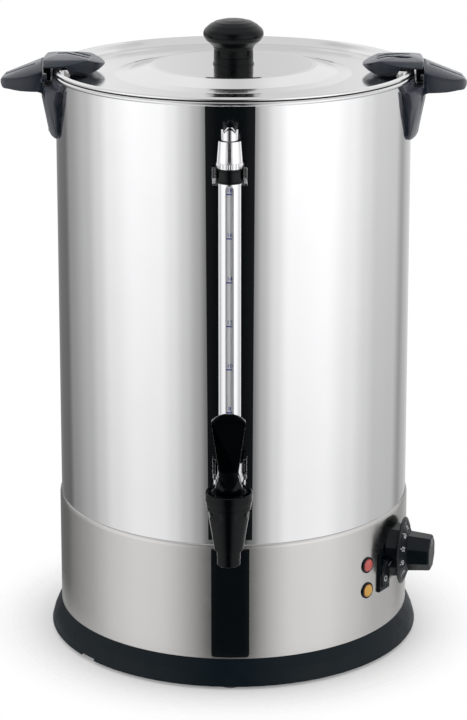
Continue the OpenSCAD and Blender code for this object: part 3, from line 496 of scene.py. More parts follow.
@dataclass(frozen=True)
class Finish:
    """One surface finish.

    Attributes:
        name: Name of the material.
        colour: Base colour.
        roughness: Base roughness.
        spread: How far the roughness varies.
        drift: How far the colour varies.
        grain: Grains per metre.
        depth: Depth of the grain in millimetres.
        kind: How it is built.
        coat: Weight of the clear coat.
        coat_ior: Index of refraction of the clear coat.
        ior: Index of refraction.
        lay: Direction of brushed lines.
        edge: Radius in millimetres by which hard edges are rounded.
        alpha: How much the surface hides.
        sheen: Weight of the pale bloom at grazing angles.
    """

    name: str
    colour: Colour
    roughness: float
    spread: float = 0.05
    drift: float = 0.06
    grain: float = 2500.0
    depth: float = 0.02
    kind: Kind = Kind.MOULDED
    coat: float = 0.0
    coat_ior: float = 1.5
    ior: float = 1.5
    lay: Lay = Lay.AROUND
    edge: float = 0.35
    alpha: float = 1.0
    sheen: float = 0.0

    def material(self, effects: Effects) -> Material:
        """Builds the material.

        Args:
            effects: The shared shader groups.

        Returns:
            The material.
        """
        made = bpy.data.materials.new(self.name)
        weave = Weave.of(made)
        grain = weave.node("Group", {
            "Colour": (*self.colour, 1.0),
            "Drift": self.drift,
            "Grain Scale": self.grain,
            "Roughness": self.roughness,
            "Roughness Spread": self.spread,
        }, node_tree=effects.grain).outputs
        rough, height = grain["Roughness"], grain["Height"]
        if self.kind is Kind.BRUSHED:
            values = {"Stretch": self.lay.value, "Scale": LINE_SCALE}
            lines = weave.node("Group", values, node_tree=effects.brushing).outputs
            rough = weave.maths("ADD", rough, weave.maths("MULTIPLY", lines["Mask"], self.spread), True)
            height = lines["Height"]
        if self.kind is Kind.POLISHED:
            values = {"Amount": self.spread, "Roughness": self.roughness}
            marks = weave.node("Group", values, node_tree=effects.handling).outputs
            rough, height = marks["Roughness"], marks["Height"]
        bump = weave.node("Bump", {"Strength": 1.0, "Distance": self.depth * MM, "Height": height})
        if self.edge > 0:
            edge = weave.node("Bevel", {"Radius": self.edge * MM}, samples=EDGE_SAMPLES)
            weave.link(edge.outputs["Normal"], bump.inputs["Normal"])
        surface = weave.node("BsdfPrincipled", {
            "Base Color": grain["Colour"],
            "Metallic": 0.0 if self.kind is Kind.MOULDED else 1.0,
            "Roughness": rough,
            "Normal": bump.outputs["Normal"],
            "IOR": self.ior,
            "Coat Weight": self.coat,
            "Coat Roughness": COAT_ROUGHNESS,
            "Coat IOR": self.coat_ior,
            "Alpha": self.alpha,
            "Sheen Weight": self.sheen,
            "Sheen Roughness": SHEEN_ROUGHNESS,
            "Sheen Tint": SHEEN_TINT,
        })
        weave.node("OutputMaterial", {"Surface": surface.outputs["BSDF"]})
        return made


HANDLE_BLACK = Finish(
    "satin_black_moulding", (0.006, 0.013, 0.026), 0.3, 0.05, 0.1,
    coat=0.45, coat_ior=1.42, ior=1.36, edge=0.5, sheen=0.55,
)
BASE_BLACK = Finish("base_black_moulding", (0.003, 0.009, 0.014), 0.4, 0.06, 0.12, ior=1.27, edge=0.6)
KNOB_BLACK = Finish("knob_black_moulding", (0.002, 0.003, 0.004), 0.24, 0.05, 0.08, ior=1.32, edge=0.5)
CONTROL_BLACK = Finish("control_black_moulding", (0.002, 0.006, 0.009), 0.28, 0.04, 0.08, ior=1.33, edge=0.3)
GLOSS_BLACK = Finish(
    "gloss_black_moulding", (0.001, 0.002, 0.003), 0.13, 0.02, 0.05, 400.0, 0.003, ior=1.26, edge=0.4
)
STRIP_BLACK = Finish(
    "gloss_black_trim", (0.0015, 0.004, 0.005), 0.12, 0.02, 0.05, 300.0, 0.002, coat=0.1, edge=0.2
)
HOUSING_STEEL = Finish(
    "satin_steel", (0.66, 0.65, 0.64), 0.21, 0.02, 0.008, kind=Kind.BRUSHED, depth=0.0002, edge=0.3
)
TANK_STEEL = Finish(
    "polished_steel", (0.87, 0.87, 0.88), 0.07, 0.04, 0.01, kind=Kind.POLISHED, depth=0.012, edge=0.0
)
LID_STEEL = Finish(
    "polished_lid_steel", (0.84, 0.84, 0.84), 0.1, 0.05, 0.012, kind=Kind.POLISHED, depth=0.015, edge=0.0
)
CHROME = Finish("chrome_plate", (0.9, 0.9, 0.92), 0.05, 0.04, 0.01, kind=Kind.POLISHED, depth=0.003, edge=0.3)
PLATED = Finish("zinc_plate", (0.6, 0.61, 0.63), 0.35, 0.1, 0.05, kind=Kind.BRUSHED, lay=Lay.ACROSS, depth=0.006)
SHEATH = Finish("element_sheath", (0.3, 0.29, 0.28), 0.5, 0.1, 0.15, kind=Kind.BRUSHED, depth=0.01)
FOOT_RUBBER = Finish("grey_rubber", (0.16, 0.165, 0.17), 0.75, 0.08, 0.12, 1500.0, 0.04, ior=1.45)
SEAL_BLACK = Finish("black_silicone", (0.012, 0.012, 0.013), 0.5, 0.08, 0.08, 1200.0, 0.02, ior=1.42)
CUP_SILICONE = Finish("clear_silicone", (0.66, 0.66, 0.62), 0.45, 0.08, 0.06, 900.0, 0.02, ior=1.42)
CERAMIC = Finish("white_ceramic", (0.75, 0.74, 0.7), 0.35, 0.08, 0.05, 1200.0, 0.03)
GLASS = Finish("clear_tube", (0.9, 0.93, 0.94), 0.04, 0.01, 0.01, 300.0, 0.002, edge=0.0, alpha=0.1)
BACKING = Finish("white_glass_backing", (0.95, 0.96, 0.97), 0.3, 0.03, 0.01, 600.0, 0.002, edge=0.0)
RED_LENS = Finish("red_lens", (0.34, 0.012, 0.014), 0.16, 0.03, 0.12, 700.0, 0.01, coat=0.6)
AMBER_LENS = Finish("amber_lens", (0.5, 0.15, 0.008), 0.16, 0.03, 0.12, 700.0, 0.01, coat=0.6)
# Lens ribs, lighter than their lenses: a painted highlight where light catches the ribs of the clear lens.
RED_RIB_PAINTED_HIGHLIGHT = Finish("red_lens_rib_painted_highlight", (0.9, 0.2, 0.18), 0.3, 0.03, 0.1, edge=0.0)
AMBER_RIB_PAINTED_HIGHLIGHT = Finish("amber_lens_rib_painted_highlight", (1.0, 0.62, 0.12), 0.3, 0.03, 0.1, edge=0.0)
RESET_RED = Finish("reset_red", (0.45, 0.03, 0.025), 0.3, 0.05, 0.06)
MARK_BLUE = Finish("printed_blue", (0.01, 0.035, 0.42), 0.4, 0.05, 0.15, edge=0.0)
MARK_WHITE = Finish("printed_white", (0.8, 0.82, 0.84), 0.45, 0.05, 0.06, edge=0.0)
MARK_GREY = Finish("printed_grey", (0.1, 0.11, 0.12), 0.45, 0.05, 0.1, edge=0.0)

NODE_FINISH: dict[Finish, tuple[str, ...]] = {
    BASE_BLACK: ("base_ring", "cord_gland", "boil_dry_cutout"),
    PLATED: ("bottom_plate", "base_screws", "tank_ledge", "element_clamp", "clamp_nut", "thermostat_body",
             "thermostat_shaft", "shank_nut", "heat_spreader", "knob_screw"),
    FOOT_RUBBER: ("feet",),
    HOUSING_STEEL: ("lower_housing",),
    STRIP_BLACK: ("front_strip_upper", "front_strip_lower"),
    TANK_STEEL: ("tank",),
    LID_STEEL: ("lid",),
    SHEATH: ("heating_element", "keep_warm_element"),
    CONTROL_BLACK: ("thermostat_boss", "thermostat_knob", "switch_body", "switch_rocker", "lamp_bezels"),
    RED_LENS: ("heating_lamp",),
    AMBER_LENS: ("keep_warm_lamp",),
    RESET_RED: ("reset_button",),
    CERAMIC: ("terminal_block",),
    HANDLE_BLACK: ("handle_left", "handle_right", "lid_catch_left", "lid_catch_right"),
    CHROME: ("handle_screws", "catch_rivets", "gauge_guard", "gauge_cap", "gauge_nut", "gauge_bracket",
             "gauge_tee", "lever_pin", "valve_stem"),
    KNOB_BLACK: ("lid_knob", "knob_spacer", "gauge_clamp"),
    SEAL_BLACK: ("lid_seal", "gauge_seals", "shank_seals"),
    CUP_SILICONE: ("seat_cup",),
    GLASS: ("gauge_glass",),
    GLOSS_BLACK: ("tap_body", "tap_bonnet", "tap_lever"),
}


class Wardrobe:
    """Makes each finish once and puts it on pieces."""

    def __init__(self) -> None:
        """Builds the shared groups."""
        self.effects = Effects()
        self.made: dict[str, Material] = {}

    def get(self, finish: Finish) -> Material:
        """Gives the material of a finish.

        Args:
            finish: The finish.

        Returns:
            Its material, made on first use.
        """
        if finish.name not in self.made:
            self.made[finish.name] = finish.material(self.effects)
        return self.made[finish.name]

    def dress_nodes(self) -> None:
        """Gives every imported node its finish."""
        for finish, nodes in NODE_FINISH.items():
            for node in nodes:
                mesh = frame["nodes"][node].data
                mesh.materials.clear()
                mesh.materials.append(self.get(finish))

    def place(
        self, piece: Object, finish: Finish, body: str, slot: str, replaces: Iterable[str] = ()
    ) -> Object:
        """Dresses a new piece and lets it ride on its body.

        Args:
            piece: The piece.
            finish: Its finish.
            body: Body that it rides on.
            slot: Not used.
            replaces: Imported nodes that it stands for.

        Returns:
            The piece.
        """
        piece.data.materials.clear()
        piece.data.materials.append(self.get(finish))
        if replaces:
            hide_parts(*replaces)
        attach(piece, body)
        LOG.info("%s rides on %s, %d faces", piece.name, body, len(piece.data.polygons))
        return piece


# ---------- tank ------------------


@dataclass
class Vessel:
    """The polished tank."""

    tank_r: float = 139.6
    wall: float = 1.0
    floor_z: float = 97.0
    rim_z: float = 457.9
    rim_step: float = 0.2
    bead_r: float = 1.9
    bead_out: float = 0.6
    bead_turn: Point2 = (-90.0, 147.0)
    bead_steps: int = 20
    corner: float = 6.0
    steps: int = 288
    sharp: float = 40.0

    def build(self, wardrobe: Wardrobe) -> None:
        """Builds the tank's pieces.

        Args:
            wardrobe: Where the finishes come from.
        """
        wardrobe.place(self.tank(), TANK_STEEL, "urn", "tank", ["tank"])

    def tank(self) -> Object:
        """Turns the tank with its rolled rim.

        Returns:
            The piece.
        """
        bead_c = self.tank_r + self.bead_out
        outer_z = self.floor_z - self.wall
        inner_r = self.tank_r - self.wall
        profile = [(0.0, outer_z)]
        profile += arc(self.tank_r - self.corner, outer_z + self.corner, self.corner, 270, 360)
        profile += [(self.tank_r, self.rim_z - 2 * self.bead_r - self.rim_step)]
        profile += arc(bead_c, self.rim_z - self.bead_r, self.bead_r, *self.bead_turn, self.bead_steps)
        profile += [(inner_r, self.rim_z - self.bead_r)]
        profile += arc(self.tank_r - self.corner, outer_z + self.corner, self.corner - self.wall, 0, -90)
        profile += [(0.0, self.floor_z)]
        bm = bmesh.new()
        revolve(bm, profile, self.steps, closed=False)
        return mesh_object("tank_shell", bm, self.sharp)


# ---------- rounded mouldings ----------


MERGED = 0.03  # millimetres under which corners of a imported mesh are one
FLAT_ANGLE = 1.5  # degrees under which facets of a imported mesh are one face
STRAY = 0.5  # share of the rounding's width beyond which a corner is off the surface
ROUND_STEPS = 2  # facets across a rounded edge


@dataclass(frozen=True)
class Rounding:
    """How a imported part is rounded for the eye.

    Attributes:
        node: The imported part.
        name: Name of the piece that stands for it.
        body: Body that it rides on.
        finish: Its finish.
        width: Width of the rounded edges in millimetres.
        angle: Edges that bend by more than this many degrees are rounded.
    """

    node: str
    name: str
    body: str
    finish: Finish
    width: float = 0.5
    angle: float = 30.0

    def piece(self) -> Object:
        """Makes the rounded copy.

        Returns:
            The piece, at the origin, with its place in its mesh.
        """
        source = frame["nodes"][self.node]
        bm = bmesh.new()
        bm.from_mesh(source.data)
        bmesh.ops.transform(bm, matrix=source.matrix_world, verts=bm.verts)
        bmesh.ops.remove_doubles(bm, verts=bm.verts, dist=MERGED * MM)
        bmesh.ops.dissolve_limit(bm, angle_limit=math.radians(FLAT_ANGLE), verts=bm.verts, edges=bm.edges)
        bmesh.ops.scale(bm, vec=(1 / MM, 1 / MM, 1 / MM), verts=bm.verts)
        draft = mesh_object("draft", bm)
        soft = draft.modifiers.new("soft", "BEVEL")
        soft.width = self.width * MM
        soft.segments = ROUND_STEPS
        soft.limit_method = "ANGLE"
        soft.angle_limit = math.radians(self.angle)
        soft.use_clamp_overlap = False
        soft.miter_outer = "MITER_ARC"
        plain = plain_mesh(draft)
        plain.name = self.name
        self._tame(plain, source)
        return linked(self.name, plain)

    def _tame(self, plain: Mesh, source: Object) -> None:
        """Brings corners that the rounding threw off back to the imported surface, and keeps its box.

        Args:
            plain: The rounded mesh, in metres.
            source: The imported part.
        """
        corners = [source.matrix_world @ v.co for v in source.data.vertices]
        skin = BVHTree.FromPolygons(corners, [tuple(f.vertices) for f in source.data.polygons])
        low = [min(c[i] for c in corners) for i in range(3)]
        high = [max(c[i] for c in corners) for i in range(3)]
        moved = 0
        for corner in plain.vertices:
            spot, _, _, gap = skin.find_nearest(corner.co)
            if gap > STRAY * self.width * MM:
                corner.co = spot
                moved += 1
            corner.co = [min(max(corner.co[i], low[i]), high[i]) for i in range(3)]
        LOG.info("%s: %d stray corners brought back", self.name, moved)


ROUNDED: tuple[Rounding, ...] = (
    Rounding("handle_left", "grip_left", "urn", HANDLE_BLACK, 0.7),
    Rounding("handle_right", "grip_right", "urn", HANDLE_BLACK, 0.7),
    Rounding("lid_catch_left", "catch_leaf_left", "lid", HANDLE_BLACK, 0.6),
    Rounding("lid_catch_right", "catch_leaf_right", "lid", HANDLE_BLACK, 0.6),
    Rounding("tap_lever", "tap_paddle", "lever", GLOSS_BLACK, 0.5),
    Rounding("switch_rocker", "rocker_cap", "rocker", CONTROL_BLACK, 0.3),
)


@dataclass
class Saddles:
    """The dark saddle under each catch, from the leaf's keel to the lid's rim."""

    sides: tuple[tuple[str, float], ...] = (("left", -1.0), ("right", 1.0))
    rim_r: float = 140.9
    half_angle: float = 7.6
    steps: int = 10
    keel: tuple[Point2, ...] = ((131.0, 15.5), (126.5, 12.0), (124.5, 6.0))
    bottom_z: float = 458.6
    top_z: float = 466.6
    sharp: float = 30.0

    def build(self, wardrobe: Wardrobe) -> None:
        """Builds a saddle on each side.

        Args:
            wardrobe: Where the finishes come from.
        """
        for side, way in self.sides:
            wardrobe.place(self.saddle(side, way), HANDLE_BLACK, "lid", f"lid_catch_{side}")

    def saddle(self, side: str, way: float) -> Object:
        """Makes one saddle.

        Args:
            side: Name of the side.
            way: Which way it points along X.

        Returns:
            The piece.
        """
        bm = bmesh.new()
        outer = arc(0.0, 0.0, self.rim_r, -self.half_angle, self.half_angle, self.steps)
        inner = [*self.keel, *((x, -y) for x, y in reversed(self.keel))]
        outline = [(way * x, y) for x, y in outer + inner]
        prism(bm, outline, self.bottom_z, self.top_z)
        return mesh_object(f"catch_saddle_{side}", bm, self.sharp)


# ---------- printed marks ----------


class Print:
    """Thin marks and figures that lie on the surface of a part."""

    DROP = 40.0  # millimetres above the surface from which a mark falls on it
    SUNK = 0.05  # millimetres that a mark's back lies under the surface
    CURVE_STEPS = 3  # chords of a letter's curves
    SHARP = 50.0  # degrees of bend above which its edges stay sharp

    def __init__(self, part: str | Object, thick: float = 0.08) -> None:
        """Keeps the part's skin.

        Args:
            part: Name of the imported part, or the piece, that is printed on.
            thick: Thickness of the print in millimetres.
        """
        source = frame["nodes"][part] if isinstance(part, str) else part
        corners = [source.matrix_world @ v.co / MM for v in source.data.vertices]
        self.skin = BVHTree.FromPolygons(corners, [tuple(f.vertices) for f in source.data.polygons])
        self.thick = thick
        self.bm = bmesh.new()

    def figure(self, text: str, place: Matrix, size: float) -> None:
        """Prints a word or number.

        Args:
            text: What is printed.
            place: Frame whose +X is along the line and whose +Z points away from the surface.
            size: Height of the letters' box in millimetres.
        """
        curve = bpy.data.curves.new("figure", "FONT")
        curve.body = text
        curve.size = size
        curve.resolution_u = self.CURVE_STEPS
        curve.align_x = "CENTER"
        curve.align_y = "CENTER"
        flat = evaluated_mesh(linked("figure", curve))
        self.lay([v.co.copy() for v in flat.vertices], [tuple(f.vertices) for f in flat.polygons], place)

    def bar(self, place: Matrix, width: float, height: float, cuts: tuple[int, int] = (1, 1)) -> None:
        """Prints a rectangle, cut into a grid so that it follows a curved surface.

        Args:
            place: Frame of its middle.
            width: Its size along +X.
            height: Its size along +Y.
            cuts: Cells along +X and +Y.
        """
        across, up = cuts
        points = [
            Vector(((i / across - 0.5) * width, (j / up - 0.5) * height, 0.0))
            for j in range(up + 1)
            for i in range(across + 1)
        ]
        row = across + 1
        faces = [
            (j * row + i, j * row + i + 1, (j + 1) * row + i + 1, (j + 1) * row + i)
            for j in range(up)
            for i in range(across)
        ]
        self.lay(points, faces, place)

    def lay(self, points: Sequence[Vector], faces: Sequence[tuple[int, ...]], place: Matrix) -> None:
        """Drops a flat shape on the skin along the frame's -Z and gives it its thickness.

        Args:
            points: Its corners in millimetres.
            faces: Its faces.
            place: The frame that it is drawn in.
        """
        down = (place.to_3x3() @ Vector((0.0, 0.0, -1.0))).normalized()
        low: list[BMVert] = []
        high: list[BMVert] = []
        for point in points:
            start = place @ Vector((point.x, point.y, self.DROP))
            hit = self.skin.ray_cast(start, down)[0] or place @ point
            low.append(self.bm.verts.new(hit + down * self.SUNK))
            high.append(self.bm.verts.new(hit - down * self.thick))
        edges: dict[tuple[int, int], tuple[int, int]] = {}
        for face in faces:
            self.bm.faces.new([high[i] for i in face])
            self.bm.faces.new([low[i] for i in reversed(face)])
            for i, j in zip(face, face[1:] + face[:1]):
                key = (min(i, j), max(i, j))
                if key in edges:
                    edges.pop(key)
                else:
                    edges[key] = (i, j)
        for i, j in edges.values():
            self.bm.faces.new([low[i], low[j], high[j], high[i]])

    def piece(self, name: str) -> Object:
        """Gives the finished print."""
        return mesh_object(name, self.bm, self.SHARP)


class RingRepeat:
    """Geometry nodes that stand equal ribs in a ring."""

    SIDES = 8  # faces round a rib

    def __init__(self, name: str, material: Material) -> None:
        """Builds the tree.

        Args:
            name: Name of the tree.
            material: Material of the ribs.
        """
        self.tree = bpy.data.node_groups.new(name, "GeometryNodeTree")
        face = self.tree.interface
        self.ids = {
            label: face.new_socket(label, in_out="INPUT", socket_type=kind).identifier
            for label, kind in (("Count", "NodeSocketInt"), ("Ring Radius", FLOAT), ("Rib Radius", FLOAT),
                                ("Rib Height", FLOAT), ("Centre", VECTOR))
        }
        face.new_socket("Geometry", in_out="OUTPUT", socket_type="NodeSocketGeometry")
        weave = Weave(self.tree, "GeometryNode")
        given = self.tree.nodes.new("NodeGroupInput").outputs
        out = self.tree.nodes.new("NodeGroupOutput").inputs
        sizes = {"Radius": given["Rib Radius"], "Depth": given["Rib Height"], "Vertices": self.SIDES}
        rib = weave.node("MeshCylinder", sizes).outputs["Mesh"]
        sizes = {"Vertices": given["Count"], "Radius": given["Ring Radius"]}
        ring = weave.node("MeshCircle", sizes).outputs["Mesh"]
        stand = weave.node("InstanceOnPoints", {"Points": ring, "Instance": rib}).outputs["Instances"]
        moved = weave.node("Transform", {"Geometry": stand, "Translation": given["Centre"]}).outputs["Geometry"]
        real = weave.node("RealizeInstances", {"Geometry": moved}).outputs["Geometry"]
        dress = weave.node("SetMaterial", {"Geometry": real, "Material": material})
        weave.link(dress.outputs["Geometry"], out["Geometry"])

    def piece(
        self, name: str, count: int, ring: float, rib: float, height: float, centre: Vector
    ) -> Object:
        """Makes a ring of ribs as a plain mesh.

        Args:
            name: Name of the piece.
            count: Number of ribs.
            ring: Radius of the ring in millimetres.
            rib: Radius of a rib in millimetres.
            height: Height of a rib in millimetres.
            centre: Centre of the ring in millimetres.

        Returns:
            The piece.
        """
        draft = linked("draft", bpy.data.meshes.new("draft"))
        nodes = draft.modifiers.new("ring", "NODES")
        nodes.node_group = self.tree
        values = {"Count": count, "Ring Radius": ring * MM, "Rib Radius": rib * MM, "Rib Height": height * MM,
                  "Centre": list(centre * MM)}
        for label, value in values.items():
            nodes[self.ids[label]] = value
        return linked(name, plain_mesh(draft))


@dataclass
class Gauge:
    """The level gauge's scale, clamp sleeve and knurled nut."""

    axis_y: float = -154.0
    first_z: float = 226.6
    step_z: float = 33.28
    numbers: tuple[int, ...] = (8, 10, 12, 14, 16, 18)
    mark_x: float = -0.3
    mark_size: Point2 = (4.4, 0.9)
    mark_cuts: tuple[int, int] = (6, 1)
    figure_size: float = 4.4
    figure_up: float = 2.9
    line_at: Point2 = (1.0, 296.0)
    line_size: Point2 = (0.45, 202.0)
    scale_r: Point2 = (5.5, 6.1)
    scale_arc: Point2 = (205.0, 335.0)
    scale_z: Point2 = (190.0, 400.4)
    scale_steps: int = 20
    scale_sharp: float = 50.0
    sleeve_r: Point2 = (8.55, 9.9)
    sleeve_z: Point2 = (400.8, 411.7)
    sleeve_sharp: float = 30.0
    chamfer: float = 0.4
    groove: tuple[Point2, ...] = ((0.0, 1.1), (0.3, 1.3), (0.3, 1.7), (0.0, 1.9))
    ribs: int = 44
    rib_ring_r: float = 9.5
    rib_r: float = 0.28
    rib_h: float = 3.4
    nut_z: float = 413.9

    def build(self, wardrobe: Wardrobe) -> None:
        """Builds the gauge's pieces.

        Args:
            wardrobe: Where the finishes come from.
        """
        backing = wardrobe.place(self.backing(), BACKING, "urn", "gauge_glass")
        wardrobe.place(self.sleeve(), KNOB_BLACK, "urn", "gauge_clamp", ["gauge_clamp"])
        wardrobe.place(self.knurl(wardrobe), CHROME, "urn", "gauge_nut")
        scale = Print(backing)
        line = Print(backing)
        for i, number in enumerate(self.numbers):
            z = self.first_z + i * self.step_z
            scale.bar(self._at(self.mark_x, z), *self.mark_size, self.mark_cuts)
            scale.figure(str(number), self._at(0.0, z + self.figure_up), self.figure_size)
        line.bar(self._at(*self.line_at), *self.line_size)
        wardrobe.place(scale.piece("gauge_marks"), MARK_BLUE, "urn", "gauge_glass")
        wardrobe.place(line.piece("gauge_line"), MARK_GREY, "urn", "gauge_glass")

    def _at(self, x: float, z: float) -> Matrix:
        """Gives the frame of a mark on the tube's front."""
        return Matrix.Translation((x, self.axis_y, z)) @ Matrix.Rotation(math.pi / 2, 4, "X")

    def backing(self) -> Object:
        """Makes the milky scale sleeve round the front of the tube.

        Returns:
            The piece.
        """
        bm = bmesh.new()
        inner, outer = self.scale_r
        start, end = self.scale_arc
        outline = arc(0.0, self.axis_y, outer, start, end, self.scale_steps)
        outline += arc(0.0, self.axis_y, inner, end, start, self.scale_steps)
        prism(bm, outline, *self.scale_z)
        return mesh_object("gauge_backing", bm, self.scale_sharp)

    def sleeve(self) -> Object:
        """Makes the black sleeve that clamps the guard, with a fine groove at each end.

        Returns:
            The piece.
        """
        inner, outer = self.sleeve_r
        low, high = self.sleeve_z
        profile = [(inner, low), (outer - self.chamfer, low), (outer, low + self.chamfer)]
        profile += [(outer - depth, low + up) for depth, up in self.groove]
        profile += [(outer - depth, high - up) for depth, up in reversed(self.groove)]
        profile += [(outer, high - self.chamfer), (outer - self.chamfer, high), (inner, high)]
        bm = bmesh.new()
        revolve(bm, profile, place=Matrix.Translation((0.0, self.axis_y, 0.0)))
        return mesh_object("gauge_sleeve", bm, self.sleeve_sharp)

    def knurl(self, wardrobe: Wardrobe) -> Object:
        """Stands fine ribs round the gauge's nut.

        Args:
            wardrobe: Where the ribs' material comes from.

        Returns:
            The piece.
        """
        repeat = RingRepeat("nut_knurl", wardrobe.get(CHROME))
        centre = Vector((0.0, self.axis_y, self.nut_z))
        return repeat.piece("nut_knurl", self.ribs, self.rib_ring_r, self.rib_r, self.rib_h, centre)


@dataclass
class Controls:
    """The dial and its boss, the signs on the switch and the ribs of the lamps, which are coloured lighter than
    their lenses as a painted highlight.
    """

    housing_r: float = 141.0
    dial_az: float = 66.5
    dial_aim: float = 76.0
    dial_z: float = 80.0
    disc: tuple[Point2, ...] = (
        (0.0, 6.2), (25.6, 6.2), (26.3, 6.5), (26.5, 7.0), (26.2, 7.6), (23.6, 8.8), (0.0, 8.9),
    )
    grip: tuple[Point2, ...] = (
        (0.0, 8.2), (23.0, 8.2), (23.0, 8.9), (16.2, 12.2), (15.7, 12.5), (14.3, 28.4), (13.9, 29.4),
        (13.0, 30.0), (0.0, 30.0),
    )
    block: tuple[Point2, ...] = ((0.0, -3.6), (21.4, -3.6), (20.6, 4.8), (19.8, 5.7), (0.0, 5.7))
    facets: int = 8
    sharp: float = 20.0
    degrees: range = range(30, 120, 10)
    first_turn: float = 135.0
    turn_step: float = 33.75
    figure_r: float = 18.9
    figure_size: float = 4.2
    tick_r: float = 22.2
    tick_size: Point2 = (0.7, 1.6)
    pointer_r: float = 9.0
    pointer_size: Point2 = (1.0, 6.0)
    switch_az: float = 57.8
    switch_z: float = 69.5
    sign_up: float = 6.4
    on_size: Point2 = (0.8, 4.0)
    on_cuts: tuple[int, int] = (1, 4)
    off_r: Point2 = (2.3, 1.5)
    off_steps: int = 24
    lamp_az: float = 48.9
    lamp_r: float = 4.7
    rib_pitch: float = 1.3
    rib_width: float = 0.5
    rib_thick: float = 0.12
    rib_pairs: int = 3
    rib_cuts: int = 8
    # Each lamp's name, height and rib colour; the rib colour is a painted highlight, lighter than the lens.
    lamps: tuple[tuple[str, float, Finish], ...] = (
        ("heating", 80.6, RED_RIB_PAINTED_HIGHLIGHT), ("keep_warm", 59.6, AMBER_RIB_PAINTED_HIGHLIGHT),
    )

    def build(self, wardrobe: Wardrobe) -> None:
        """Builds the pieces.

        Args:
            wardrobe: Where the finishes come from.
        """
        dial = wardrobe.place(self.dial(), CONTROL_BLACK, "dial", "thermostat_knob", ["thermostat_knob"])
        wardrobe.place(self.boss(), CONTROL_BLACK, "urn", "thermostat_boss", ["thermostat_boss"])
        wardrobe.place(self.dial_marks(dial), MARK_WHITE, "dial", "thermostat_knob")
        wardrobe.place(self.switch_marks(), MARK_WHITE, "rocker", "switch_rocker")
        for name, height, finish in self.lamps:
            wardrobe.place(self.lamp_ribs(name, height), finish, "urn", f"{name}_lamp")

    def _shaft(self) -> Matrix:
        """Gives the frame of the dial's shaft."""
        return outwards(self.dial_az, self.housing_r, self.dial_z, self.dial_aim)

    def _flats(self) -> Matrix:
        """Gives the shaft's frame, turned so that a flat faces up."""
        return self._shaft() @ Matrix.Rotation(math.pi / self.facets, 4, "Z")

    def dial(self) -> Object:
        """Makes the dial: a thin disc, an eight-sided skirt and a long eight-sided grip.

        Returns:
            The piece.
        """
        bm = bmesh.new()
        revolve(bm, self.disc, closed=False, place=self._shaft())
        revolve(bm, self.grip, self.facets, closed=False, place=self._flats())
        return mesh_object("dial_grip", bm, self.sharp)

    def boss(self) -> Object:
        """Makes the faceted block that the dial stands on.

        Returns:
            The piece.
        """
        bm = bmesh.new()
        revolve(bm, self.block, self.facets, closed=False, place=self._flats())
        return mesh_object("dial_boss", bm, self.sharp)

    def dial_marks(self, dial: Object) -> Object:
        """Prints the temperatures, their ticks and the pointer.

        Args:
            dial: The piece that is printed on.

        Returns:
            The print.
        """
        marks = Print(dial)
        for i, number in enumerate(self.degrees):
            turn = math.radians(self.first_turn - i * self.turn_step)
            turned = self._shaft() @ Matrix.Rotation(turn, 4, "Z")
            marks.figure(str(number), turned @ raised(self.figure_r), self.figure_size)
            marks.bar(turned @ raised(self.tick_r), *self.tick_size)
        marks.bar(self._shaft() @ raised(self.pointer_r), *self.pointer_size)
        return marks.piece("dial_marks")

    def switch_marks(self) -> Object:
        """Prints the on and off signs on the rocker.

        Returns:
            The piece.
        """
        place = outwards(self.switch_az, self.housing_r, self.switch_z)
        marks = Print("switch_rocker")
        marks.bar(place @ raised(self.sign_up), *self.on_size, self.on_cuts)
        count = self.off_steps
        last = 360 - 360 / count
        rings = [arc(0.0, -self.sign_up, r, 0, last, count - 1) for r in self.off_r]
        ring = [Vector((x, y, 0.0)) for points in rings for x, y in points]
        faces = [(i, (i + 1) % count, count + (i + 1) % count, count + i) for i in range(count)]
        marks.lay(ring, faces, place)
        return marks.piece("switch_signs")

    def lamp_ribs(self, name: str, height: float) -> Object:
        """Lays crossing ribs on a lamp's lens, in a lighter colour that is a painted highlight along the ribs.

        Args:
            name: Name of the lamp.
            height: Height of its middle.

        Returns:
            The ribs.
        """
        place = outwards(self.lamp_az, self.housing_r, height)
        ribs = Print(f"{name}_lamp", self.rib_thick)
        for i in range(-self.rib_pairs, self.rib_pairs + 1):
            off = self.rib_pitch * i
            reach = 2 * math.sqrt(self.lamp_r ** 2 - off ** 2)
            ribs.bar(place @ raised(off), reach, self.rib_width, (self.rib_cuts, 1))
            ribs.bar(place @ raised(0.0, off), self.rib_width, reach, (1, self.rib_cuts))
        return ribs.piece(f"{name}_ribs")


# ---------- stage ----------


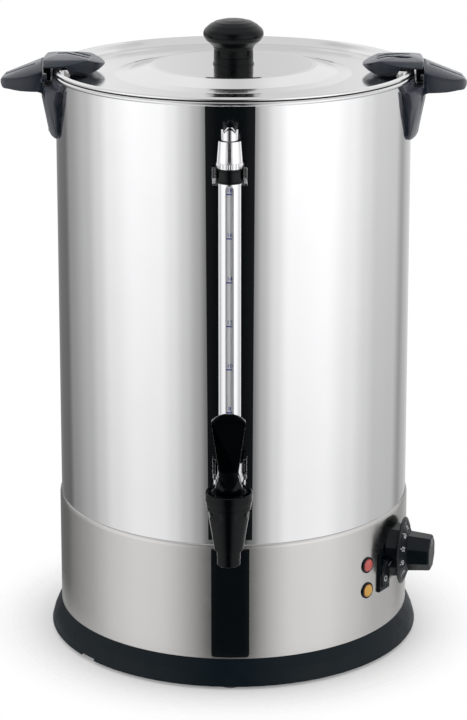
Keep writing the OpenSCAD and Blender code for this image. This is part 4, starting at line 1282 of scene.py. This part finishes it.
@dataclass
class Studio:
    """Floor, light tent, lamp and camera, in metres and degrees.

    Attributes:
        distance: Camera's distance from the urn's axis.
        height: Camera's height.
        azimuth: Camera's azimuth from the front.
        pitch: Camera's downward tilt.
        lens: Focal length in millimetres.
        sensor: Width of the sensor in millimetres.
        shift: Vertical shift.
        ambient: Strength of the world for the light. The camera sees it at 1.
        mirrored: What the world's reflections add to that.
        floor_r: Radius of the floor.
        floor_steps: Sides of its outline.
        floor_drop: How far the floor lies under the feet.
        floor_tone: Its grey.
        floor_fade: Radii between which it fades out.
        floor_mirror_r: Radius past which reflections don't show it.
        tent_r: Radius of the tent.
        tent_z: Heights of its rings.
        tent_stops: Azimuth from the front and brightness round its lower part.
        lift_z: Heights between which its lower part turns into its upper part.
        fall_z: Heights between which it grows dimmer downwards.
        fall: Strength at those heights.
        back_azimuth: Azimuths, in radians, between which the upper part turns from front to back.
        front_dim: Share of the lower part's brightness that the upper front has.
        dip_x: Distances from the middle between which the upper back's dip ends.
        dip: Brightness in the dip and beside it.
        lamp_at: Place of the overhead lamp.
        lamp_tilt: How far it leans to the front.
        lamp_size: Its width and depth.
        lamp_power: Its power in watts.
    """

    distance: float = 1.9253
    height: float = 0.7995
    azimuth: float = 1.02
    pitch: float = 13.1
    lens: float = 124.4
    sensor: float = 36.0
    shift: float = -0.2218
    ambient: float = 0.65
    mirrored: float = 0.1
    floor_r: float = 1.5
    floor_steps: int = 128
    floor_drop: float = 0.0002
    floor_tone: float = 0.93
    floor_fade: Point2 = (0.11, 0.215)
    floor_mirror_r: float = 0.3
    tent_r: float = 1.6
    tent_z: Point3 = (-3.2, 0.0, 2.2)
    tent_stops: tuple[Point2, ...] = (
        (-174, 0.42), (-165, 0.3), (-147, 0.19), (-135, 0.17), (-126, 0.36), (-104, 0.58), (-93, 0.8),
        (-82, 1.04), (-63, 1.2), (-45, 1.16), (-37, 1.0), (-29, 0.76), (-21, 0.5), (-15, 0.2), (-9, 0.05),
        (7, 0.05), (13, 0.25), (19, 0.62), (27, 0.96), (36, 1.24), (60, 1.3), (80, 1.08), (93, 0.88),
        (104, 0.74), (126, 0.7), (138, 0.42), (150, 0.62), (163, 0.78), (176, 0.7),
    )
    lift_z: Point2 = (0.35, 0.75)
    fall_z: Point2 = (-0.5, 0.3)
    fall: Point2 = (0.75, 1.0)
    back_azimuth: Point2 = (1.2, 2.3)
    front_dim: float = 0.6
    dip_x: Point2 = (0.0, 0.3)
    dip: Point2 = (0.68, 0.92)
    lamp_at: Point3 = (0.0, -0.3, 1.9)
    lamp_tilt: float = 8.0
    lamp_size: Point2 = (2.2, 1.7)
    lamp_power: float = 8.5

    def build(self) -> None:
        """Builds the stage."""
        self.world()
        self.floor()
        self.tent()
        self.camera()
        self.lamp()

    @staticmethod
    def _stage(name: str, bm: BMesh, material: Material) -> Object:
        """Makes a piece of the stage.

        Args:
            name: Its name.
            bm: Its mesh in metres, which is freed here.
            material: Its material.

        Returns:
            The piece.
        """
        mesh = bpy.data.meshes.new(name)
        bm.to_mesh(mesh)
        bm.free()
        mesh.materials.append(material)
        piece = linked(name, mesh)
        return piece

    def world(self) -> None:
        """White for the camera, soft grey for the light."""
        world = bpy.data.worlds.new("studio")
        bpy.context.scene.world = world
        weave = Weave.of(world)
        path = weave.node("LightPath").outputs
        seen = weave.maths("MAXIMUM", path["Is Camera Ray"], path["Is Transmission Ray"])
        seen = weave.maths("MULTIPLY", seen, 1.0 - self.ambient)
        mirrored = weave.maths("MULTIPLY", path["Is Glossy Ray"], self.mirrored)
        strength = weave.maths("ADD", weave.maths("ADD", seen, mirrored), self.ambient)
        light = weave.node("Background", {"Color": grey(1.0), "Strength": strength})
        weave.node("OutputWorld", {"Surface": light.outputs["Background"]})

    def floor(self) -> None:
        """A round pale floor that fades out into the white."""
        bm = bmesh.new()
        drop = Matrix.Translation((0.0, 0.0, -self.floor_drop))
        bmesh.ops.create_circle(bm, cap_ends=True, segments=self.floor_steps, radius=self.floor_r, matrix=drop)
        material = bpy.data.materials.new("pale_floor")
        weave = Weave.of(material)
        where = weave.node("TexCoord").outputs["Object"]
        reach = weave.node("VectorMath", {0: where}, operation="LENGTH").outputs["Value"]
        faded = weave.between(reach, self.floor_fade, smooth=True)
        far = weave.maths("GREATER_THAN", reach, self.floor_mirror_r)
        hidden = weave.maths("MULTIPLY", far, weave.node("LightPath").outputs["Is Glossy Ray"])
        mix = weave.node("MixShader", {
            "Fac": weave.maths("MAXIMUM", faded, hidden),
            1: weave.node("BsdfDiffuse", {"Color": grey(self.floor_tone)}).outputs["BSDF"],
            2: weave.node("BsdfTransparent").outputs["BSDF"],
        })
        weave.node("OutputMaterial", {"Surface": mix.outputs["Shader"]})
        self._stage("floor", bm, material)

    def tent(self) -> None:
        """A round tent of soft light whose bands the polished steel mirrors."""
        bm = bmesh.new()
        revolve(bm, [(self.tent_r, z) for z in self.tent_z], closed=False)
        material = bpy.data.materials.new("tent_cloth")
        weave = Weave.of(material)
        split = weave.node("SeparateXYZ", {0: weave.node("TexCoord").outputs["Object"]})
        across, depth, height = split.outputs
        azimuth = weave.maths("ARCTAN2", across, weave.maths("MULTIPLY", depth, -1.0))
        ramp = weave.node("ValToRGB", {"Fac": weave.between(azimuth, (-math.pi, math.pi))})
        ramp.color_ramp.interpolation = "EASE"
        spots = ramp.color_ramp.elements
        stops = [(0.5 + degrees / 360, value) for degrees, value in self.tent_stops]
        spots[0].position = stops[0][0]
        spots[-1].position = stops[-1][0]
        for at, _ in stops[1:-1]:
            spots.new(at)
        for spot, (_, value) in zip(spots, stops):
            spot.color = grey(value)
        low = ramp.outputs["Color"]
        tone = weave.node("Mix", {
            "Factor": weave.between(height, self.lift_z, smooth=True),
            "A": low,
            "B": self._upper(weave, azimuth, across, low),
        }, data_type="RGBA")
        strength = weave.between(height, self.fall_z, self.fall)
        glow = weave.node("Emission", {"Color": tone.outputs["Result"], "Strength": strength})
        weave.node("OutputMaterial", {"Surface": glow.outputs["Emission"]})
        piece = self._stage("light_tent", bm, material)
        piece.visible_camera = False
        piece.visible_shadow = False

    def _upper(
        self, weave: Weave, azimuth: NodeSocket, across: NodeSocket, low: NodeSocket
    ) -> NodeSocket:
        """Gives the tent's upper part: dimmer in front, white behind with a soft dip midway.

        Args:
            weave: The tent's weave.
            azimuth: Azimuth in radians.
            across: Place along X.
            low: Brightness of the lower part.

        Returns:
            Its brightness.
        """
        turned = weave.maths("ABSOLUTE", azimuth)
        aside = weave.maths("ABSOLUTE", across)
        return weave.node("Mix", {
            "Factor": weave.between(turned, self.back_azimuth, smooth=True),
            "A": weave.maths("MULTIPLY", low, self.front_dim),
            "B": weave.between(aside, self.dip_x, self.dip, smooth=True),
        }, data_type="FLOAT").outputs["Result"]

    def camera(self) -> None:
        """Stands the camera where the photograph was taken from."""
        data = bpy.data.cameras.new("camera")
        data.lens = self.lens
        data.sensor_width = self.sensor
        data.shift_y = self.shift
        camera = linked("camera", data)
        a = math.radians(self.azimuth)
        camera.location = (self.distance * math.sin(a), -self.distance * math.cos(a), self.height)
        camera.rotation_euler = (math.radians(90 - self.pitch), 0.0, a)
        bpy.context.scene.camera = camera

    def lamp(self) -> None:
        """A broad soft lamp overhead, which the polished lid doesn't mirror."""
        data = bpy.data.lights.new("overhead", "AREA")
        data.shape = "RECTANGLE"
        data.size, data.size_y = self.lamp_size
        data.energy = self.lamp_power
        lamp = linked("overhead", data)
        lamp.location = self.lamp_at
        lamp.rotation_euler = (math.radians(-self.lamp_tilt), 0.0, 0.0)
        lamp.visible_camera = False
        lamp.visible_glossy = False


def main() -> None:
    """Builds the scene and reports each piece."""
    logging.basicConfig(level=logging.INFO, format="%(name)s: %(message)s")
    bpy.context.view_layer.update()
    bpy.context.scene.view_settings.view_transform = "Standard"
    Studio().build()
    wardrobe = Wardrobe()
    wardrobe.dress_nodes()
    Vessel().build(wardrobe)
    for rounding in ROUNDED:
        wardrobe.place(rounding.piece(), rounding.finish, rounding.body, rounding.node, [rounding.node])
    for assembly in (Saddles(), Gauge(), Controls()):
        assembly.build(wardrobe)


if __name__ == "__main__":
    main()
